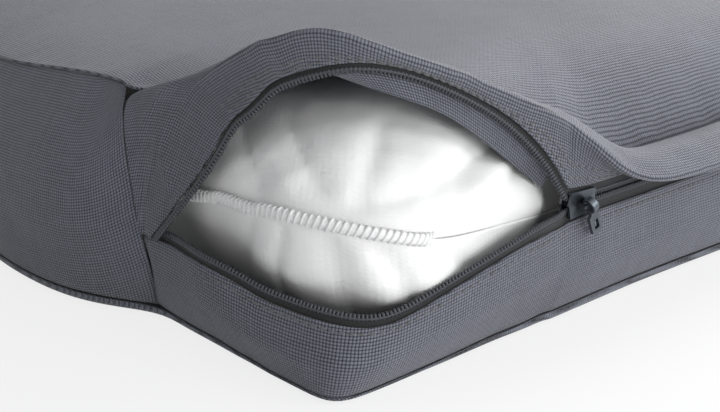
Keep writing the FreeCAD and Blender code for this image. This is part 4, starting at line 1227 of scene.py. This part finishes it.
print("zip")
makeLiner()
makeOverlock()
print("liner")
looks = {"zip_slider_body": gunmetal, "zip_slider_pull": gunmetal,
         "foam_core": foamLook, "wadding_top": foamLook, "wadding_bottom": foamLook}
for name, material in looks.items():
    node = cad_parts[name]
    node.data.materials.clear()
    node.data.materials.append(material)


# floor, light and camera
floorWhite = 0.8        # the rest of the floor's brightness is lit, so it keeps the pad's shadow


def makeFloor():
    mesh = bpy.data.meshes.new("floor")
    size = 6.0
    low = -0.0005
    corners = [(-size, -size, low), (size, -size, low), (size, size, low), (-size, size, low)]
    mesh.from_pydata(corners, [], [(0, 1, 2, 3)])
    floor = bpy.data.objects.new("floor", mesh)
    bpy.context.scene.collection.objects.link(floor)
    tree = Nodes("floor_white")
    glow = tree.add("ShaderNodeEmission", {0: (1, 1, 1, 1), 1: 1.0})
    diffuse = tree.add("ShaderNodeBsdfDiffuse", {0: (0.92, 0.92, 0.92, 1)})
    path = tree.add("ShaderNodeLightPath")
    seen = path.outputs["Is Camera Ray"]
    for other in ("Is Glossy Ray", "Is Transmission Ray"):
        seen = tree.math("MAXIMUM", seen, path.outputs[other])
    both = tree.add("ShaderNodeMixShader", {0: tree.math("MULTIPLY", seen, floorWhite)})
    tree.tree.links.new(diffuse.outputs[0], both.inputs[1])
    tree.tree.links.new(glow.outputs[0], both.inputs[2])
    tree.tree.links.new(both.outputs[0], tree.output.inputs[0])
    mesh.materials.append(tree.material)


def makeWorld():
    world = bpy.data.worlds.new("studio")
    world.use_nodes = True
    tree = world.node_tree
    tree.nodes.clear()
    output = tree.nodes.new("ShaderNodeOutputWorld")
    path = tree.nodes.new("ShaderNodeLightPath")
    soft = tree.nodes.new("ShaderNodeBackground")
    soft.inputs[0].default_value = (0.92, 0.95, 1.0, 1)
    soft.inputs[1].default_value = 0.33
    white = tree.nodes.new("ShaderNodeBackground")
    white.inputs[0].default_value = (1, 1, 1, 1)
    white.inputs[1].default_value = 1.0
    both = tree.nodes.new("ShaderNodeMixShader")
    seen = path.outputs["Is Camera Ray"]
    for other in ("Is Glossy Ray", "Is Transmission Ray"):
        larger = tree.nodes.new("ShaderNodeMath")
        larger.operation = "MAXIMUM"
        tree.links.new(seen, larger.inputs[0])
        tree.links.new(path.outputs[other], larger.inputs[1])
        seen = larger.outputs[0]
    tree.links.new(seen, both.inputs[0])
    tree.links.new(soft.outputs[0], both.inputs[1])
    tree.links.new(white.outputs[0], both.inputs[2])
    tree.links.new(both.outputs[0], output.inputs[0])
    bpy.context.scene.world = world


def addLamp(name, place, target, power, size, colour=(1, 1, 1)):
    lamp = bpy.data.lights.new(name, "AREA")
    lamp.energy = power
    lamp.size = size
    lamp.color = colour
    obj = bpy.data.objects.new(name, lamp)
    bpy.context.scene.collection.objects.link(obj)
    obj.location = place
    obj.rotation_euler = (Vector(target) - Vector(place)).to_track_quat("-Z", "Y").to_euler()
    return obj


def makeCamera():
    camera = bpy.data.cameras.new("camera")
    camera.lens = 55.0
    camera.sensor_width = 36.0
    camera.sensor_fit = "HORIZONTAL"
    obj = bpy.data.objects.new("camera", camera)
    bpy.context.scene.collection.objects.link(obj)
    obj.location = (-0.3753, -0.3894, 0.1738)
    obj.rotation_euler = (math.radians(69), 0, math.radians(-39.5))
    bpy.context.scene.camera = obj


makeFloor()
makeWorld()
addLamp("key", (1.0, 0.15, 0.8), (0.05, -0.05, 0.05), 18.0, 0.8)
addLamp("front", (0.9, -1.4, 0.9), (0.0, -0.15, 0.05), 12.5, 1.0)
addLamp("fill", (-0.1, -1.3, 0.2), (0.0, -0.15, 0.07), 8.5, 0.7)
addLamp("left", (-1.4, -0.5, 0.6), (-0.2, -0.1, 0.05), 1.0, 1.0, (1.0, 0.9, 0.82))
makeCamera()
bpy.context.scene.view_settings.view_transform = "Standard"
